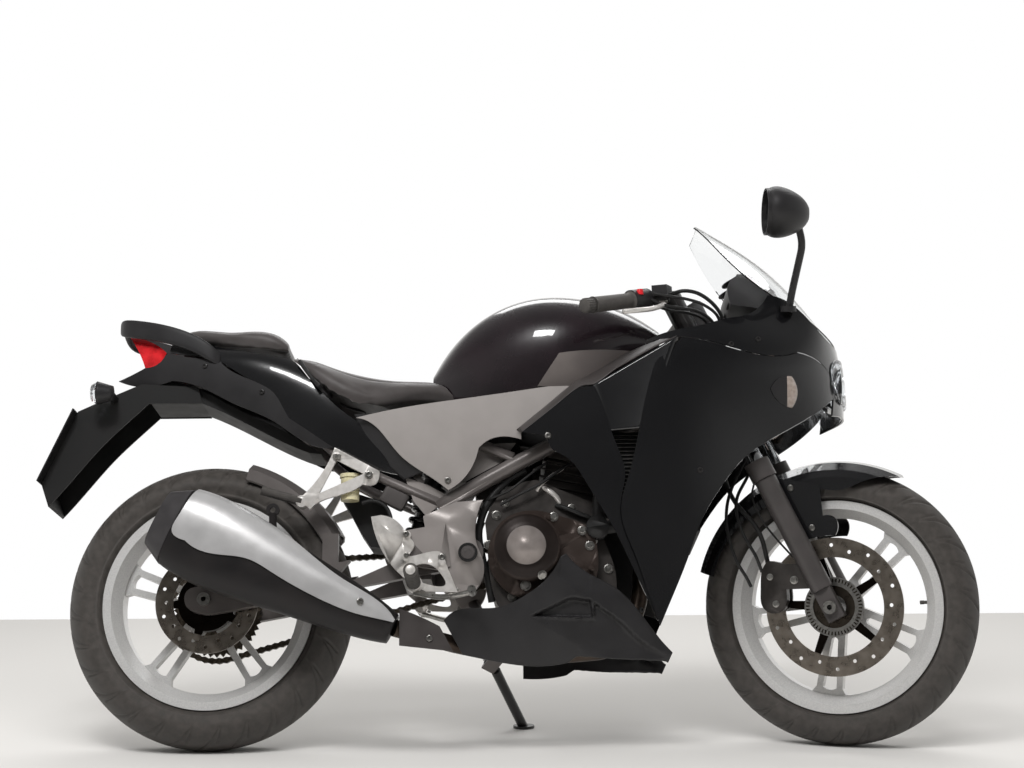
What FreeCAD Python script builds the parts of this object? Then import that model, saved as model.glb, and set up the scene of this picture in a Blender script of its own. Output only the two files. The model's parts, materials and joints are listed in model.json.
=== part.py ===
import FreeCAD, Part
import math
import os

V = FreeCAD.Vector
sharp = True

# Sport motorcycle, millimetres. Each piece is drawn on an upright, straight-ahead machine:
# X forward from the rear axle, Y to the rider's left, Z up from the ground.
# At the end the steered pieces turn, the machine leans on its side stand and is set on the floor.
# A table of shares gives an outline inside its box: share of the length, share of the height,
# and sharp where the outline has a corner. Between corners it is one smooth curve.

# Driving sizes
wheelbase = 1367.0
rake_deg = 25.0
fork_offset = 39.4
lean_deg = 15.13
steer_deg = 21.35
reach = 400.0
overrun = 20.0
panel_wall = 4.0
seat_gap = 0.3
bounds_tolerance = 0.3
bolt_radius = 6.0

# Wheels and tyres
bead_radius = 218.2
rear_tyre_height = 90.8
rear_tyre_half_width = 70.0
front_tyre_height = 78.8
front_tyre_half_width = 55.0
tyre_section_shares = [(1.0, 0.0), (0.930, 0.42), (0.76, 0.80), (0.52, 1.0), (0.22, 0.94)]
rear_rim_half_width = 57.5
front_rim_half_width = 41.5
flange_height = 9.8
flange_thickness = 6.5
barrel_thickness = 8.0
well_depth = 20.0
well_share = 0.45
spoke_count = 5
front_spoke_deg = 44.5
rear_spoke_deg = 17.0
front_arm_deg = 31.0
rear_arm_deg = 40.0
spoke_gap = 30.0
spoke_gap_at_hub = 14.0
spoke_rib = 13.0
spoke_depth = 30.0
spoke_depth_at_hub = 44.0
hub_radius = 42.0
hub_bore_radius = 21.0
front_hub_half_width = 48.0
rear_hub_half_width = 60.0
axle_radius = 8.5
axle_bore_radius = 5.5
axle_clearance = 0.05
axle_nut_radius = 14.0
axle_nut_length = 12.0
front_disc_radius = 148.0
front_disc_inner_radius = 106.0
front_disc_side = 62.0
rear_disc_radius = 110.0
rear_disc_inner_radius = 72.0
rear_disc_side = 79.0
disc_thickness = 4.5
disc_hole_radius = 4.0
disc_hole_count = 20
disc_arm_count = 5
disc_arm_width = 20.0
disc_hub_radius = 62.0
disc_hub_inner_radius = 50.0

# Chain drive
chain_pitch = 15.875
rear_teeth = 42
front_teeth = 14
chain_width = 12.0
chain_plate_height = 14.0
chain_waist_height = 9.0
chain_side = 83.5
tooth_gap = 7.5
tooth_height = 8.0
sprocket_thickness = 6.0
sprocket_inner_radius = 62.0
carrier_radius = 72.0
carrier_thickness = 9.0
carrier_hub_radius = 38.0
drive_shaft_x = 625.0
drive_shaft_z = 410.0
drive_shaft_radius = 12.0

# Fork, yokes and steering
fork_side = 95.0
stanchion_radius = 18.5
slider_radius = 24.0
slider_collar_radius = 28.0
slider_collar_length = 42.0
slider_length = 350.0
slider_bottom = 42.0
stanchion_top = 735.0
lower_yoke_at = 470.0
upper_yoke_at = 660.0
lower_yoke_thickness = 34.0
upper_yoke_thickness = 22.0
yoke_half_depth = 30.0
yoke_clamp_radius = 29.0
stem_radius = 14.0
stem_bore_radius = 8.5
head_tube_radius = 27.0
stem_clearance = 0.05
axle_lug_length = 56.0
axle_lug_width = 38.0
axle_lug_half_depth = 14.0

# Handlebars, in the straight-ahead frame
bar_radius = 11.1
grip_radius = 16.5
grip_length = 118.0
bar_end_radius = 15.0
bar_end_length = 26.0
bar_inner_y = 95.0
bar_outer_y = 345.0
bar_inner_x = 1052.0
bar_outer_x = 922.0
bar_inner_z = 992.0
bar_outer_z = 950.0
bar_riser_top = 768.0
bar_riser_radius = 24.0
bar_clamp_gap = 0.3
switch_length = 52.0
switch_radius = 23.0
lever_radius = 5.5
lever_reach = 62.0
lever_length = 165.0
lever_drop = 22.0
reservoir_length = 44.0
reservoir_width = 34.0
reservoir_height = 24.0
reservoir_lift = 1.0

# Front fender, on the front axle
fender_gap = 15.0
fender_wall = 3.0
fender_half_width = 68.0
fender_skirt = 66.0
fender_front_deg = 61.5
fender_rear_deg = 164.0
fender_edge_shares = [(-0.02, 0.0), (0.0, 0.07), (0.085, 0.42), (0.15, 0.74), (0.215, 0.97), (0.32, 0.93),
                      (0.58, 0.86), (0.68, 0.74), (0.81, 0.66), (1.0, 0.66), (1.02, 0.67)]
fender_stay_shares = [(0.06, 0.94, sharp), (0.153, 1.0, sharp), (0.763, 0.88, sharp), (0.788, 0.38, sharp), (1.0, 0.28),
                      (0.983, 0.10), (0.898, 0.0, sharp), (0.559, 0.02, sharp), (0.30, 0.20, sharp), (0.0, 0.82, sharp)]
stay_x = 1240.0
stay_z = 441.0
stay_length = 144.0
stay_height = 136.0
stay_thickness = 5.0
caliper_lug_x = 1262.0
caliper_lug_z = 338.0
caliper_lug_length = 60.0
caliper_lug_height = 54.0
caliper_lug_side = 104.0
caliper_lug_width = 18.0

# Front caliper
caliper_x = 1217.0
caliper_z = 288.0
caliper_length = 62.0
caliper_height = 112.0
caliper_shares = [(0.30, 1.0, sharp), (0.95, 0.92, sharp), (0.90, 0.45), (0.78, 0.08), (0.35, 0.0), (0.05, 0.12),
                  (0.0, 0.45), (0.10, 0.85)]
caliper_outer = 40.0
caliper_inner = 26.0
pad_gap = 1.0
disc_edge_gap = 5.0
carrier_gap = 5.0
rear_caliper_x = 62.0
rear_caliper_z = 338.0
rear_caliper_length = 62.0
rear_caliper_height = 54.0
rear_caliper_inner = 26.0

# Swingarm
pivot_x = 560.0
pivot_z = 403.0
arm_side = 104.0
arm_half_thickness = 12.0
arm_x = -38.0
arm_length = 632.0
arm_z = 280.0
arm_height = 158.0
arm_shares = [(0.0, 0.30), (0.03, 0.36), (0.10, 0.385, sharp), (0.55, 0.70, sharp), (0.93, 0.985), (0.99, 0.92),
              (1.0, 0.78), (0.985, 0.64), (0.93, 0.585, sharp), (0.55, 0.32, sharp), (0.10, 0.0, sharp), (0.03, 0.02),
              (0.0, 0.10)]
cross_x = 420.0
cross_length = 62.0
cross_z = 350.0
cross_height = 60.0
pivot_tube_radius = 22.0
pivot_bolt_radius = 9.0
hugger_gap = 14.0
hugger_wall = 3.0
hugger_half_width = 78.0
hugger_skirt = 46.0
hugger_front_deg = 28.0
hugger_rear_deg = 74.0
hugger_foot_x = 248.0
hugger_foot_length = 34.0
hugger_foot_low_z = 352.0
hugger_foot_height = 100.0

# Frame tubes, right side; the left side mirrors them. Each route is X, Y, Z.
spar_radius = 17.0
spar_route = [(1078.0, -24.0, 806.0), (960.0, -104.0, 745.0), (700.0, -118.0, 617.0), (498.0, -118.0, 502.0)]
down_tube_radius = 14.0
down_tube_route = [(1090.0, -22.0, 768.0), (1030.0, -78.0, 700.0), (955.0, -92.0, 560.0), (838.0, -96.0, 470.0)]
seat_rail_radius = 12.0
seat_rail_route = [(660.0, -118.0, 610.0), (560.0, -112.0, 655.0), (330.0, -104.0, 655.0), (150.0, -80.0, 775.0),
                   (-110.0, -42.0, 846.0)]
stay_tube_radius = 10.0
stay_tube_route = [(520.0, -118.0, 505.0), (353.0, -114.0, 578.0), (281.0, -110.0, 620.0), (195.0, -96.0, 700.0),
                   (120.0, -78.0, 782.0)]
pivot_plate_shares = [(0.0, 0.83, sharp), (0.10, 0.55), (0.45, 0.15, sharp), (0.80, 0.0), (0.98, 0.14), (1.0, 0.34),
                      (0.90, 0.51), (0.89, 0.80), (1.0, 1.0, sharp), (0.55, 0.98, sharp)]
pivot_plate_x = 466.0
pivot_plate_z = 315.0
pivot_plate_length = 128.0
pivot_plate_height = 200.0
pivot_plate_inner = 121.0
pivot_plate_thickness = 14.0
pivot_cap_radius = 22.0
pivot_cap_height = 6.0
cross_tube_radius = 14.0
cross_tube_x = 520.0
cross_tube_z = 492.0
shock_top_x = 505.0
shock_top_z = 655.0
shock_cross_half_width = 108.0
shock_foot_x = 440.0
shock_foot_gap = 0.5
shock_eye_radius = 16.0
shock_rod_radius = 11.0
shock_body_radius = 22.0
shock_spring_radius = 33.0
shock_wire_radius = 6.0
shock_coils = 7
tail_cross_x = 40.0
tail_cross_z = 805.0
tail_cross_half_width = 70.0
spacer_radius = 8.0
spacer_root = 112.0

# Engine
case_x = 598.0
case_z = 232.0
case_length = 275.0
case_height = 330.0
case_half_width = 112.0
case_shares = [(0.0, 0.72, sharp), (0.03, 0.40), (0.12, 0.14), (0.32, 0.0, sharp), (0.82, 0.02), (0.98, 0.16),
               (1.0, 0.42), (0.90, 0.66), (0.86, 0.84, sharp), (0.40, 1.0, sharp), (0.14, 0.92)]
chain_pocket_x = 690.0
chain_pocket_side = 64.0
cylinder_lean_deg = 12.0
cylinder_x = 770.0
cylinder_z = 505.0
cylinder_length = 118.0
cylinder_half_width = 62.0
cylinder_height = 105.0
fin_count = 6
fin_thickness = 4.0
fin_overhang = 9.0
head_length = 136.0
head_half_width = 78.0
head_height = 92.0
head_round = 16.0
clutch_x = 686.0
clutch_z = 410.0
clutch_radius = 72.0
clutch_disc_radius = 43.0
clutch_depth = 46.0
clutch_dome = 12.0
clutch_disc_height = 5.0
side_case_x = 606.0
side_case_z = 300.0
side_case_length = 232.0
side_case_height = 190.0
side_case_depth = 24.0
side_case_shares = [(0.0, 0.60), (0.05, 0.25), (0.22, 0.05), (0.50, 0.0), (0.80, 0.05), (0.97, 0.22), (1.0, 0.50),
                    (0.92, 0.80), (0.70, 0.92), (0.45, 1.0), (0.16, 0.92)]
case_bolt_shares = [(0.06, 0.42), (0.30, 0.07), (0.66, 0.06), (0.94, 0.34), (0.88, 0.76), (0.56, 0.92), (0.18, 0.86)]
case_bolt_radius = 7.0
case_bolt_height = 4.0
generator_x = 770.0
generator_z = 395.0
generator_radius = 78.0
generator_depth = 32.0
sprocket_cover_outer = 108.0
sprocket_cover_thickness = 12.0
sprocket_cover_length = 88.0
sprocket_cover_height = 120.0
pump_x = 838.0
pump_z = 452.0
pump_radius = 24.0
pump_depth = 40.0
hose_radius = 14.0
hose_route = [(838.0, -132.0, 464.0), (846.0, -128.0, 540.0), (892.0, -124.0, 604.0), (960.0, -124.0, 620.0),
              (1027.7, -124.0, 620.0)]
lower_hose_route = [(850.0, -132.0, 452.0), (930.0, -126.0, 462.0), (1027.7, -124.0, 462.0)]
throttle_radius = 26.0
throttle_route = [(742.0, 0.0, 672.0), (680.0, 0.0, 690.0), (600.0, 0.0, 690.0)]
airbox_x = 534.0
airbox_length = 140.0
airbox_z = 640.0
airbox_height = 88.0
airbox_half_width = 78.0
radiator_x = 1028.0
radiator_z = 440.0
radiator_height = 210.0
radiator_half_width = 148.0
radiator_thickness = 28.0
radiator_tank = 22.0
radiator_fin_pitch = 12.0
radiator_fin_depth = 3.0
pipe_radius = 18.0
pipe_route = [(862.0, 0.0, 652.0), (925.0, 0.0, 622.0), (942.0, 0.0, 500.0), (932.0, -4.0, 300.0),
              (880.0, -20.0, 206.0), (760.0, -60.0, 190.0), (620.0, -84.0, 196.0), (545.0, -104.0, 206.0),
              (470.0, -148.0, 222.0), (408.0, -178.0, 236.0)]

# Muffler, drawn along its own slanted line
muffler_front_x = 405.0
muffler_front_z = 232.0
muffler_rear_x = -50.0
muffler_rear_z = 452.0
muffler_side = 186.0
muffler_station_shares = [0.0, 0.18, 0.42, 0.68, 0.90, 1.0]
muffler_half_height = 92.0
muffler_height_shares = [0.34, 0.56, 0.74, 0.94, 1.0, 0.92]
muffler_half_width = 58.0
muffler_width_shares = [0.60, 0.80, 0.95, 1.0, 0.98, 0.90]
muffler_section_shares = [(0.0, 1.0), (0.62, 0.90), (0.96, 0.45), (1.0, 0.0), (0.90, -0.52), (0.52, -0.93), (0.0, -1.0)]
muffler_cap_length = 44.0
muffler_cap_inset = 0.5
outlet_radius = 24.0
outlet_depth = 40.0
muffler_cover_wall = 4.0
muffler_cover_x = -52.0
muffler_cover_z = 240.0
muffler_cover_length = 468.0
muffler_cover_height = 300.0
muffler_cover_shares = [(0.135, 1.0), (0.18, 0.99, sharp), (0.37, 0.795), (0.57, 0.55), (0.76, 0.31), (0.985, 0.045),
                        (1.0, 0.0, sharp), (0.855, 0.05, sharp), (0.66, 0.165), (0.44, 0.36), (0.35, 0.44),
                        (0.18, 0.485), (0.06, 0.58, sharp), (0.0, 0.665), (0.03, 0.76), (0.09, 0.93)]
muffler_lug_radius = 14.0
muffler_lug_x = 151.0
muffler_lug_z = 487.0
muffler_lug_thickness = 8.0
link_cover_x = 420.0
link_cover_z = 184.0
link_cover_length = 112.0
link_cover_height = 90.0
link_cover_outer = 196.0
link_cover_thickness = 4.0
link_cover_shares = [(0.0, 1.0, sharp), (0.40, 0.80), (0.75, 0.58, sharp), (1.0, 0.0, sharp), (0.0, 0.145, sharp)]

# Fuel tank, in stations from the rear to the front
tank_rear_x = 484.0
tank_length = 500.0
tank_low_z = 742.0
tank_height = 255.0
tank_half_width = 152.0
tank_station_shares = [0.0, 0.10, 0.26, 0.46, 0.64, 0.82, 1.0]
tank_width_shares = [0.36, 0.56, 0.78, 0.96, 1.0, 0.86, 0.62]
tank_top_shares = [0.30, 0.60, 0.86, 0.985, 0.975, 0.88, 0.67]
tank_bottom_shares = [0.12, 0.04, 0.0, 0.04, 0.12, 0.26, 0.38]
tank_section_shares = [(0.86, 0.0, sharp), (0.98, 0.25), (1.0, 0.46), (0.90, 0.72), (0.58, 0.93), (0.0, 1.0)]
cap_x = 752.0
cap_radius = 36.0
cap_ring_radius = 50.0
cap_ring_height = 8.0
cap_lid = 5.4
cap_lip = 3.6
cap_taper = 6.0
cap_sink = 16.0
cap_hinge_radius = 3.5
cap_hinge_half_length = 9.0
cap_hinge_reach = 45.0
cap_gap = 0.5
tank_cover_x = 714.0
tank_cover_z = 760.0
tank_cover_length = 208.0
tank_cover_height = 86.0
tank_cover_shares = [(0.0, 0.06, sharp), (0.23, 0.86, sharp), (0.50, 0.93), (1.0, 1.0, sharp), (0.675, 0.475),
                     (0.43, 0.0, sharp)]
tank_cover_stand = 5.0

# Seats
seat_x = 168.0
seat_length = 386.0
seat_z = 704.0
seat_height = 146.0
seat_half_width = 138.0
seat_station_shares = [0.0, 0.10, 0.26, 0.45, 0.66, 0.86, 1.0]
seat_width_shares = [0.76, 0.90, 1.0, 0.98, 0.86, 0.66, 0.52]
seat_top_shares = [1.05, 0.98, 0.80, 0.66, 0.61, 0.63, 0.56]
seat_bottom_shares = [0.84, 0.62, 0.30, 0.10, 0.20, 0.26, 0.30]
seat_section_shares = [(0.94, 0.0, sharp), (1.0, 0.30), (0.97, 0.68), (0.74, 0.95), (0.0, 1.0)]
pillion_x = -76.0
pillion_length = 246.0
pillion_z = 846.0
pillion_height = 76.0
pillion_half_width = 108.0
pillion_station_shares = [0.0, 0.12, 0.50, 0.88, 1.0]
pillion_width_shares = [0.60, 0.72, 0.92, 1.0, 0.94]
pillion_top_shares = [0.92, 1.0, 0.90, 0.74, 0.40]
pillion_bottom_shares = [0.60, 0.55, 0.32, 0.12, 0.08]

# Tail, a hollow shell lofted from the rear to the front and cut into its panels
tail_x = -224.0
tail_length = 662.0
tail_z = 562.0
tail_height = 350.0
tail_half_width = 136.0
tail_station_shares = [0.0, 0.14, 0.30, 0.46, 0.62, 0.80, 1.0]
tail_width_shares = [0.34, 0.52, 0.68, 0.82, 0.91, 0.97, 0.98]
tail_top_shares = [1.03, 1.0, 0.93, 0.90, 0.82, 0.62, 0.40]
tail_bottom_shares = [0.64, 0.60, 0.50, 0.36, 0.16, 0.02, -0.10]
tail_section_shares = [(0.80, 0.0, sharp), (0.97, 0.30), (1.0, 0.60), (0.93, 0.86), (0.70, 1.0, sharp), (0.0, 1.02)]
tail_cowl_shares = [(0.30, 0.930, sharp), (0.42, 0.865), (0.57, 0.81, sharp), (0.61, 0.78), (0.655, 0.68), (0.71, 0.56),
                    (0.79, 0.42), (0.84, 0.35), (0.90, 0.22), (0.99, 0.05, sharp), (0.985, 0.03, sharp), (0.90, 0.065),
                    (0.75, 0.21), (0.60, 0.405, sharp), (0.575, 0.49), (0.55, 0.565), (0.475, 0.655), (0.365, 0.79),
                    (0.335, 0.83)]
tail_lower_shares = [(0.012, 0.71, sharp), (0.10, 0.775), (0.18, 0.86, sharp), (0.365, 0.79, sharp), (0.475, 0.655),
                     (0.55, 0.565), (0.575, 0.49), (0.60, 0.405, sharp), (0.75, 0.21, sharp), (0.705, 0.215),
                     (0.55, 0.39), (0.41, 0.52), (0.29, 0.64), (0.20, 0.685, sharp), (0.09, 0.665)]
tail_top_cover_shares = [(0.19, 0.87, sharp), (0.21, 0.965), (0.27, 0.97, sharp), (0.33, 0.83, sharp), (0.25, 0.845)]
tail_light_shares = [(0.035, 1.02, sharp), (0.075, 0.91), (0.105, 0.78, sharp), (0.15, 0.80), (0.178, 0.868, sharp),
                     (0.155, 0.91), (0.10, 0.97)]
under_tray_shares = [(0.09, 0.66, sharp), (0.20, 0.68, sharp), (0.29, 0.635), (0.41, 0.515), (0.55, 0.385),
                     (0.70, 0.21, sharp), (0.66, 0.22, sharp), (0.52, 0.34), (0.40, 0.46), (0.30, 0.545, sharp),
                     (0.13, 0.545, sharp)]
under_tray_half_width = 62.0
rail_route = [(24.0, -79.5, 826.0), (0.0, -97.0, 856.0), (-50.0, -98.0, 890.0), (-120.0, -90.0, 916.0), (-200.0, -62.0, 934.0),
              (-212.0, 0.0, 938.0), (-200.0, 62.0, 934.0), (-120.0, 90.0, 916.0), (-50.0, 98.0, 890.0),
              (0.0, 97.0, 856.0), (24.0, 79.5, 826.0)]
rail_radius = 12.0

# Rear mudguard, plate and lamps
mudguard_half_width = 72.0
mudguard_wall = 4.0
mudguard_room = 0.6
mudguard_x = -370.0
mudguard_z = 520.0
mudguard_length = 346.0
mudguard_height = 276.0
mudguard_shares = [(0.61, 1.0, sharp), (0.97, 0.97, sharp), (1.0, 0.84, sharp), (0.66, 0.84, sharp), (0.55, 0.71),
                   (0.38, 0.50), (0.20, 0.23), (0.05, 0.01, sharp), (0.0, 0.19, sharp), (0.21, 0.78, sharp),
                   (0.46, 0.92)]
plate_height = 176.0
plate_half_width = 106.0
plate_thickness = 3.0
plate_gap = 1.0
rear_lamp_x = -244.0
rear_lamp_z = 762.0
rear_lamp_reach = 128.0
rear_lamp_stem = 9.0
rear_lamp_radius = 26.0
rear_lamp_length = 34.0
lamp_lens = 12.0

# Side panels beside the tank
panel_x = 321.0
panel_z = 534.0
panel_length = 482.0
panel_height = 224.0
panel_side = 152.0
panel_side_shares = [[0.96, 0.99, 1.02, 1.06], [1.0, 1.0, 1.04, 1.09], [0.94, 0.96, 1.02, 1.08]]
panel_shares = [(0.0, 0.72, sharp), (0.27, 0.84), (0.485, 0.90), (0.77, 0.975), (0.945, 1.0), (1.0, 0.98, sharp),
                (0.74, 0.55, sharp), (0.74, 0.48, sharp), (0.575, 0.455), (0.55, 0.405, sharp), (0.455, 0.055),
                (0.415, 0.0, sharp), (0.345, 0.115), (0.20, 0.345), (0.035, 0.705)]

# Fairing, one hollow nose lofted from level to level and cut into its panels
fairing_x = 860.0
fairing_length = 540.0
fairing_z = 200.0
fairing_height = 780.0
fairing_half_width = 225.0
fairing_station_shares = [0.0, 0.185, 0.37, 0.555, 0.74, 0.889]
fairing_level_shares = [0.0, 0.21, 0.42, 0.635, 0.77, 0.85, 1.0]
fairing_width_shares = [[0.75, 0.735, 0.69, 0.62, 0.51, 0.355],
                        [0.87, 0.845, 0.78, 0.665, 0.535, 0.38],
                        [0.945, 0.96, 0.89, 0.735, 0.555, 0.39],
                        [0.96, 1.0, 0.96, 0.835, 0.665, 0.465],
                        [0.925, 0.98, 0.97, 0.90, 0.755, 0.525],
                        [0.89, 0.935, 0.94, 0.865, 0.71, 0.50],
                        [0.735, 0.755, 0.755, 0.71, 0.60, 0.40]]
fairing_nose_shares = [0.99, 0.99, 0.99, 0.99, 0.99, 0.975, 0.95]
side_cowl_shares = [(0.94, 0.718, sharp), (0.935, 0.70, sharp), (0.69, 0.575), (0.545, 0.505), (0.47, 0.445),
                    (0.42, 0.395), (0.365, 0.33), (0.305, 0.225), (0.24, 0.12), (0.193, 0.047, sharp), (0.142, 0.147),
                    (0.10, 0.233), (0.05, 0.334), (0.048, 0.36), (0.083, 0.454), (0.113, 0.536), (0.146, 0.642),
                    (0.196, 0.762, sharp), (0.306, 0.832, sharp), (0.565, 0.793), (0.69, 0.787), (0.775, 0.805, sharp),
                    (0.925, 0.748)]
upper_cowl_shares = [(0.163, 0.825, sharp), (0.28, 0.855), (0.40, 0.873), (0.487, 0.893), (0.576, 0.911),
                     (0.644, 0.952), (0.667, 0.978, sharp), (0.765, 0.957), (0.85, 0.902), (0.90, 0.868),
                     (1.03, 0.856, sharp), (1.03, 0.825, sharp), (0.933, 0.80), (0.925, 0.75, sharp),
                     (0.775, 0.808, sharp), (0.69, 0.790), (0.565, 0.796), (0.307, 0.835, sharp)]
panel_gap = 2.0
lamp_shares = [(0.93, 0.745, sharp), (0.938, 0.797), (1.03, 0.822, sharp), (1.06, 0.76), (1.03, 0.693, sharp),
               (0.96, 0.688, sharp)]
lamp_rim_shares = [(0.895, 0.728, sharp), (0.90, 0.815, sharp), (1.06, 0.85, sharp), (1.06, 0.66, sharp),
                   (0.925, 0.655, sharp)]
lamp_bulge = 6.0
lamp_depth = 46.0
chin_shares = [(0.955, 0.71, sharp), (1.03, 0.71, sharp), (1.03, 0.655, sharp), (0.88, 0.635), (0.77, 0.586, sharp),
               (0.74, 0.61, sharp), (0.86, 0.68)]
chin_half_width = 88.0
scoop_x = 670.0
scoop_length = 310.0
scoop_z = 232.0
scoop_height = 528.0
scoop_side = 208.0
scoop_side_shares = [[0.79, 0.79, 0.80, 0.77], [0.95, 0.95, 0.93, 0.88], [0.985, 0.99, 0.985, 0.96],
                     [0.975, 0.98, 0.98, 0.98]]
scoop_shares = [(0.535, 0.975, sharp), (0.425, 0.97, sharp), (0.03, 0.785, sharp), (0.205, 0.77, sharp),
                (0.235, 0.715), (0.33, 0.68), (0.45, 0.59), (0.55, 0.49), (0.635, 0.405), (0.725, 0.295), (0.835, 0.155),
                (0.93, 0.03, sharp), (0.96, 0.045, sharp), (0.90, 0.165), (0.80, 0.30), (0.715, 0.44), (0.70, 0.50),
                (0.73, 0.60), (0.66, 0.755), (0.60, 0.87)]
belly_x = 500.0
belly_length = 500.0
belly_z = 150.0
belly_height = 260.0
belly_side = 172.0
belly_stand_x = 676.0
belly_side_shares = [[0.78, 0.66, 0.56], [0.92, 0.90, 0.84], [0.97, 0.98, 0.95]]
belly_peg_x = 760.0
belly_peg_z = 262.0
peg_boss_radius = 7.0
belly_shares = [(0.54, 0.94, sharp), (0.68, 0.73), (0.735, 0.675), (0.885, 0.37), (0.985, 0.145, sharp),
                (0.965, 0.065, sharp), (0.575, 0.11), (0.545, 0.07, sharp), (0.35, 0.045), (0.255, 0.07),
                (0.10, 0.13, sharp), (0.022, 0.40, sharp), (0.07, 0.475), (0.21, 0.495), (0.28, 0.515), (0.352, 0.58),
                (0.45, 0.715), (0.516, 0.915, sharp)]

# Windscreen rows from its foot to its top: front X, front Z, side X, side Z, half width
screen_rows = [(1384.0, 872.0, 1300.0, 922.0, 122.0), (1318.0, 962.0, 1222.0, 972.0, 138.0),
               (1240.0, 1052.0, 1158.0, 1030.0, 130.0), (1160.0, 1114.0, 1112.0, 1090.0, 108.0),
               (1082.0, 1166.0, 1072.0, 1150.0, 62.0)]
screen_row_shares = [-1.0, -0.6, 0.0, 0.6, 1.0]
screen_wall = 3.0
dash_x = 1146.0
dash_length = 78.0
dash_z = 952.0
dash_height = 78.0
dash_half_width = 84.0
dash_shares = [(0.0, 0.12, sharp), (0.10, 0.92), (0.30, 1.0, sharp), (0.88, 0.86, sharp), (1.0, 0.30), (0.80, 0.0, sharp)]
dial_radius = 34.0
dial_side = 40.0
dash_dial_tilt_share = 0.35
dial_depth = 3.0
nose_stay_radius = 8.0
nose_stay_route = [(1095.0, 0.0, 800.0), (1190.0, 0.0, 832.0), (1270.0, 0.0, 838.0), (1375.0, 0.0, 790.0)]
dash_stay_route = [(1206.0, 0.0, 834.0), (1208.0, 0.0, 890.0), (1196.0, 0.0, 956.0)]
scoop_peg_x = 790.0
scoop_peg_z = 661.0
panel_peg_x = 450.0
panel_peg_z = 655.0
spar_side = 118.0
rail_side = 108.0
hose_bow = 28.0
brake_hose_radius = 5.0

# Mirrors
mirror_x = 1212.0
mirror_side = 292.0
mirror_z = 1104.0
mirror_depth = 84.0
mirror_half_width = 72.0
mirror_half_height = 52.0
mirror_station_shares = [0.0, 0.12, 0.45, 0.80, 1.0]
mirror_size_shares = [0.93, 1.0, 0.94, 0.66, 0.28]
mirror_rise = 6.0
mirror_pane = 3.0
mirror_pane_share = 0.86
stalk_radius = 8.0
stalk_route = [(1264.0, -148.0, 924.0), (1272.0, -164.0, 966.0), (1288.0, -246.0, 1046.0), (1276.0, -272.0, 1082.0)]
mirror_foot_radius = 17.0
mirror_foot_length = 12.0

# Front indicators, flush in the side cowls
blinker_x = 1214.0
blinker_z = 706.0
blinker_length = 60.0
blinker_height = 66.0
blinker_shares = [(0.0, 0.55, sharp), (0.35, 0.92), (0.80, 1.0, sharp), (1.0, 0.62), (0.80, 0.0, sharp), (0.35, 0.12)]
blinker_depth = 22.0

# Foot controls
step_plate_x = 356.0
step_plate_z = 315.0
step_plate_length = 184.0
step_plate_height = 166.0
step_plate_inner = 140.0
step_plate_thickness = 9.0
step_plate_shares = [(0.0, 0.98, sharp), (0.115, 1.0, sharp), (0.36, 0.85), (0.44, 0.72), (0.50, 0.60), (0.44, 0.475),
                     (0.60, 0.50), (0.84, 0.44, sharp), (1.0, 0.0, sharp), (0.635, 0.015, sharp), (0.245, 0.345)]
step_window_shares = [(0.50, 0.34, sharp), (0.66, 0.36), (0.76, 0.30, sharp), (0.86, 0.10), (0.60, 0.12, sharp)]
step_hanger_shares = [(0.35, 0.36, sharp), (0.35, 0.80, sharp), (0.86, 0.90, sharp), (0.92, 0.34, sharp),
                      (0.78, 0.30, sharp)]
step_bolt_shares = [(0.42, 0.74), (0.40, 0.44), (0.82, 0.38)]
step_bolt_radius = 8.0
step_bolt_height = 5.0
heel_plate_thickness = 3.0
heel_plate_shares = [(0.0, 0.98, sharp), (0.115, 1.0, sharp), (0.34, 0.86), (0.36, 0.66, sharp), (0.22, 0.38, sharp)]
peg_x = 448.0
peg_z = 330.0
peg_radius = 11.0
peg_outer = 288.0
peg_rise = 10.0
peg_root_radius = 16.0
peg_root_length = 26.0
pedal_z = 300.0
pedal_tip_x = 572.0
pedal_side = 206.0
pedal_radius = 6.0
pedal_pad_length = 34.0
pillion_plate_x = 202.0
pillion_plate_z = 497.0
pillion_plate_length = 170.0
pillion_plate_height = 136.0
pillion_plate_inner = 128.0
pillion_plate_thickness = 9.0
pillion_plate_shares = [(0.43, 1.0, sharp), (0.70, 0.82), (1.0, 0.61, sharp), (0.96, 0.42), (0.78, 0.40, sharp),
                        (0.40, 0.20), (0.23, 0.115), (0.13, 0.0, sharp), (0.0, 0.19, sharp), (0.36, 0.78)]
pillion_window_shares = [(0.46, 0.80, sharp), (0.80, 0.57, sharp), (0.24, 0.26, sharp)]
pillion_bolt_shares = [(0.465, 0.90), (0.89, 0.58)]
pillion_peg_radius = 10.0
pillion_peg_length = 86.0
pillion_peg_x = 208.0
pillion_peg_z = 512.0
brake_pot_x = 307.0
brake_pot_z = 546.0
brake_pot_length = 40.0
brake_pot_height = 50.0
brake_pot_width = 30.0
brake_pot_side = 108.0

# Side stand, left; its foot lies flat on the floor of the leaning machine
stand_pivot = (606.0, 116.0, 198.0)
stand_foot = (676.0, 262.0, 70.8)
stand_folded = (-0.97, 0.22, 0.02)
stand_radius = 11.0
stand_head_radius = 17.0
stand_head_thickness = 14.0
stand_bolt_radius = 5.0
stand_foot_radius = 24.0
stand_foot_thickness = 6.0
stand_fold_deg = 100.0
stand_ear_gap = 1.0
stand_ear_thickness = 7.0
stand_web = 14.0
stand_ear_half_width = 15.0
stand_arm_radius = 13.0
stand_arm_x = 566.0
stand_arm_side = 126.0
stand_arm_z = 334.0

# Steering
steer_lock_deg = 33.0

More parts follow.
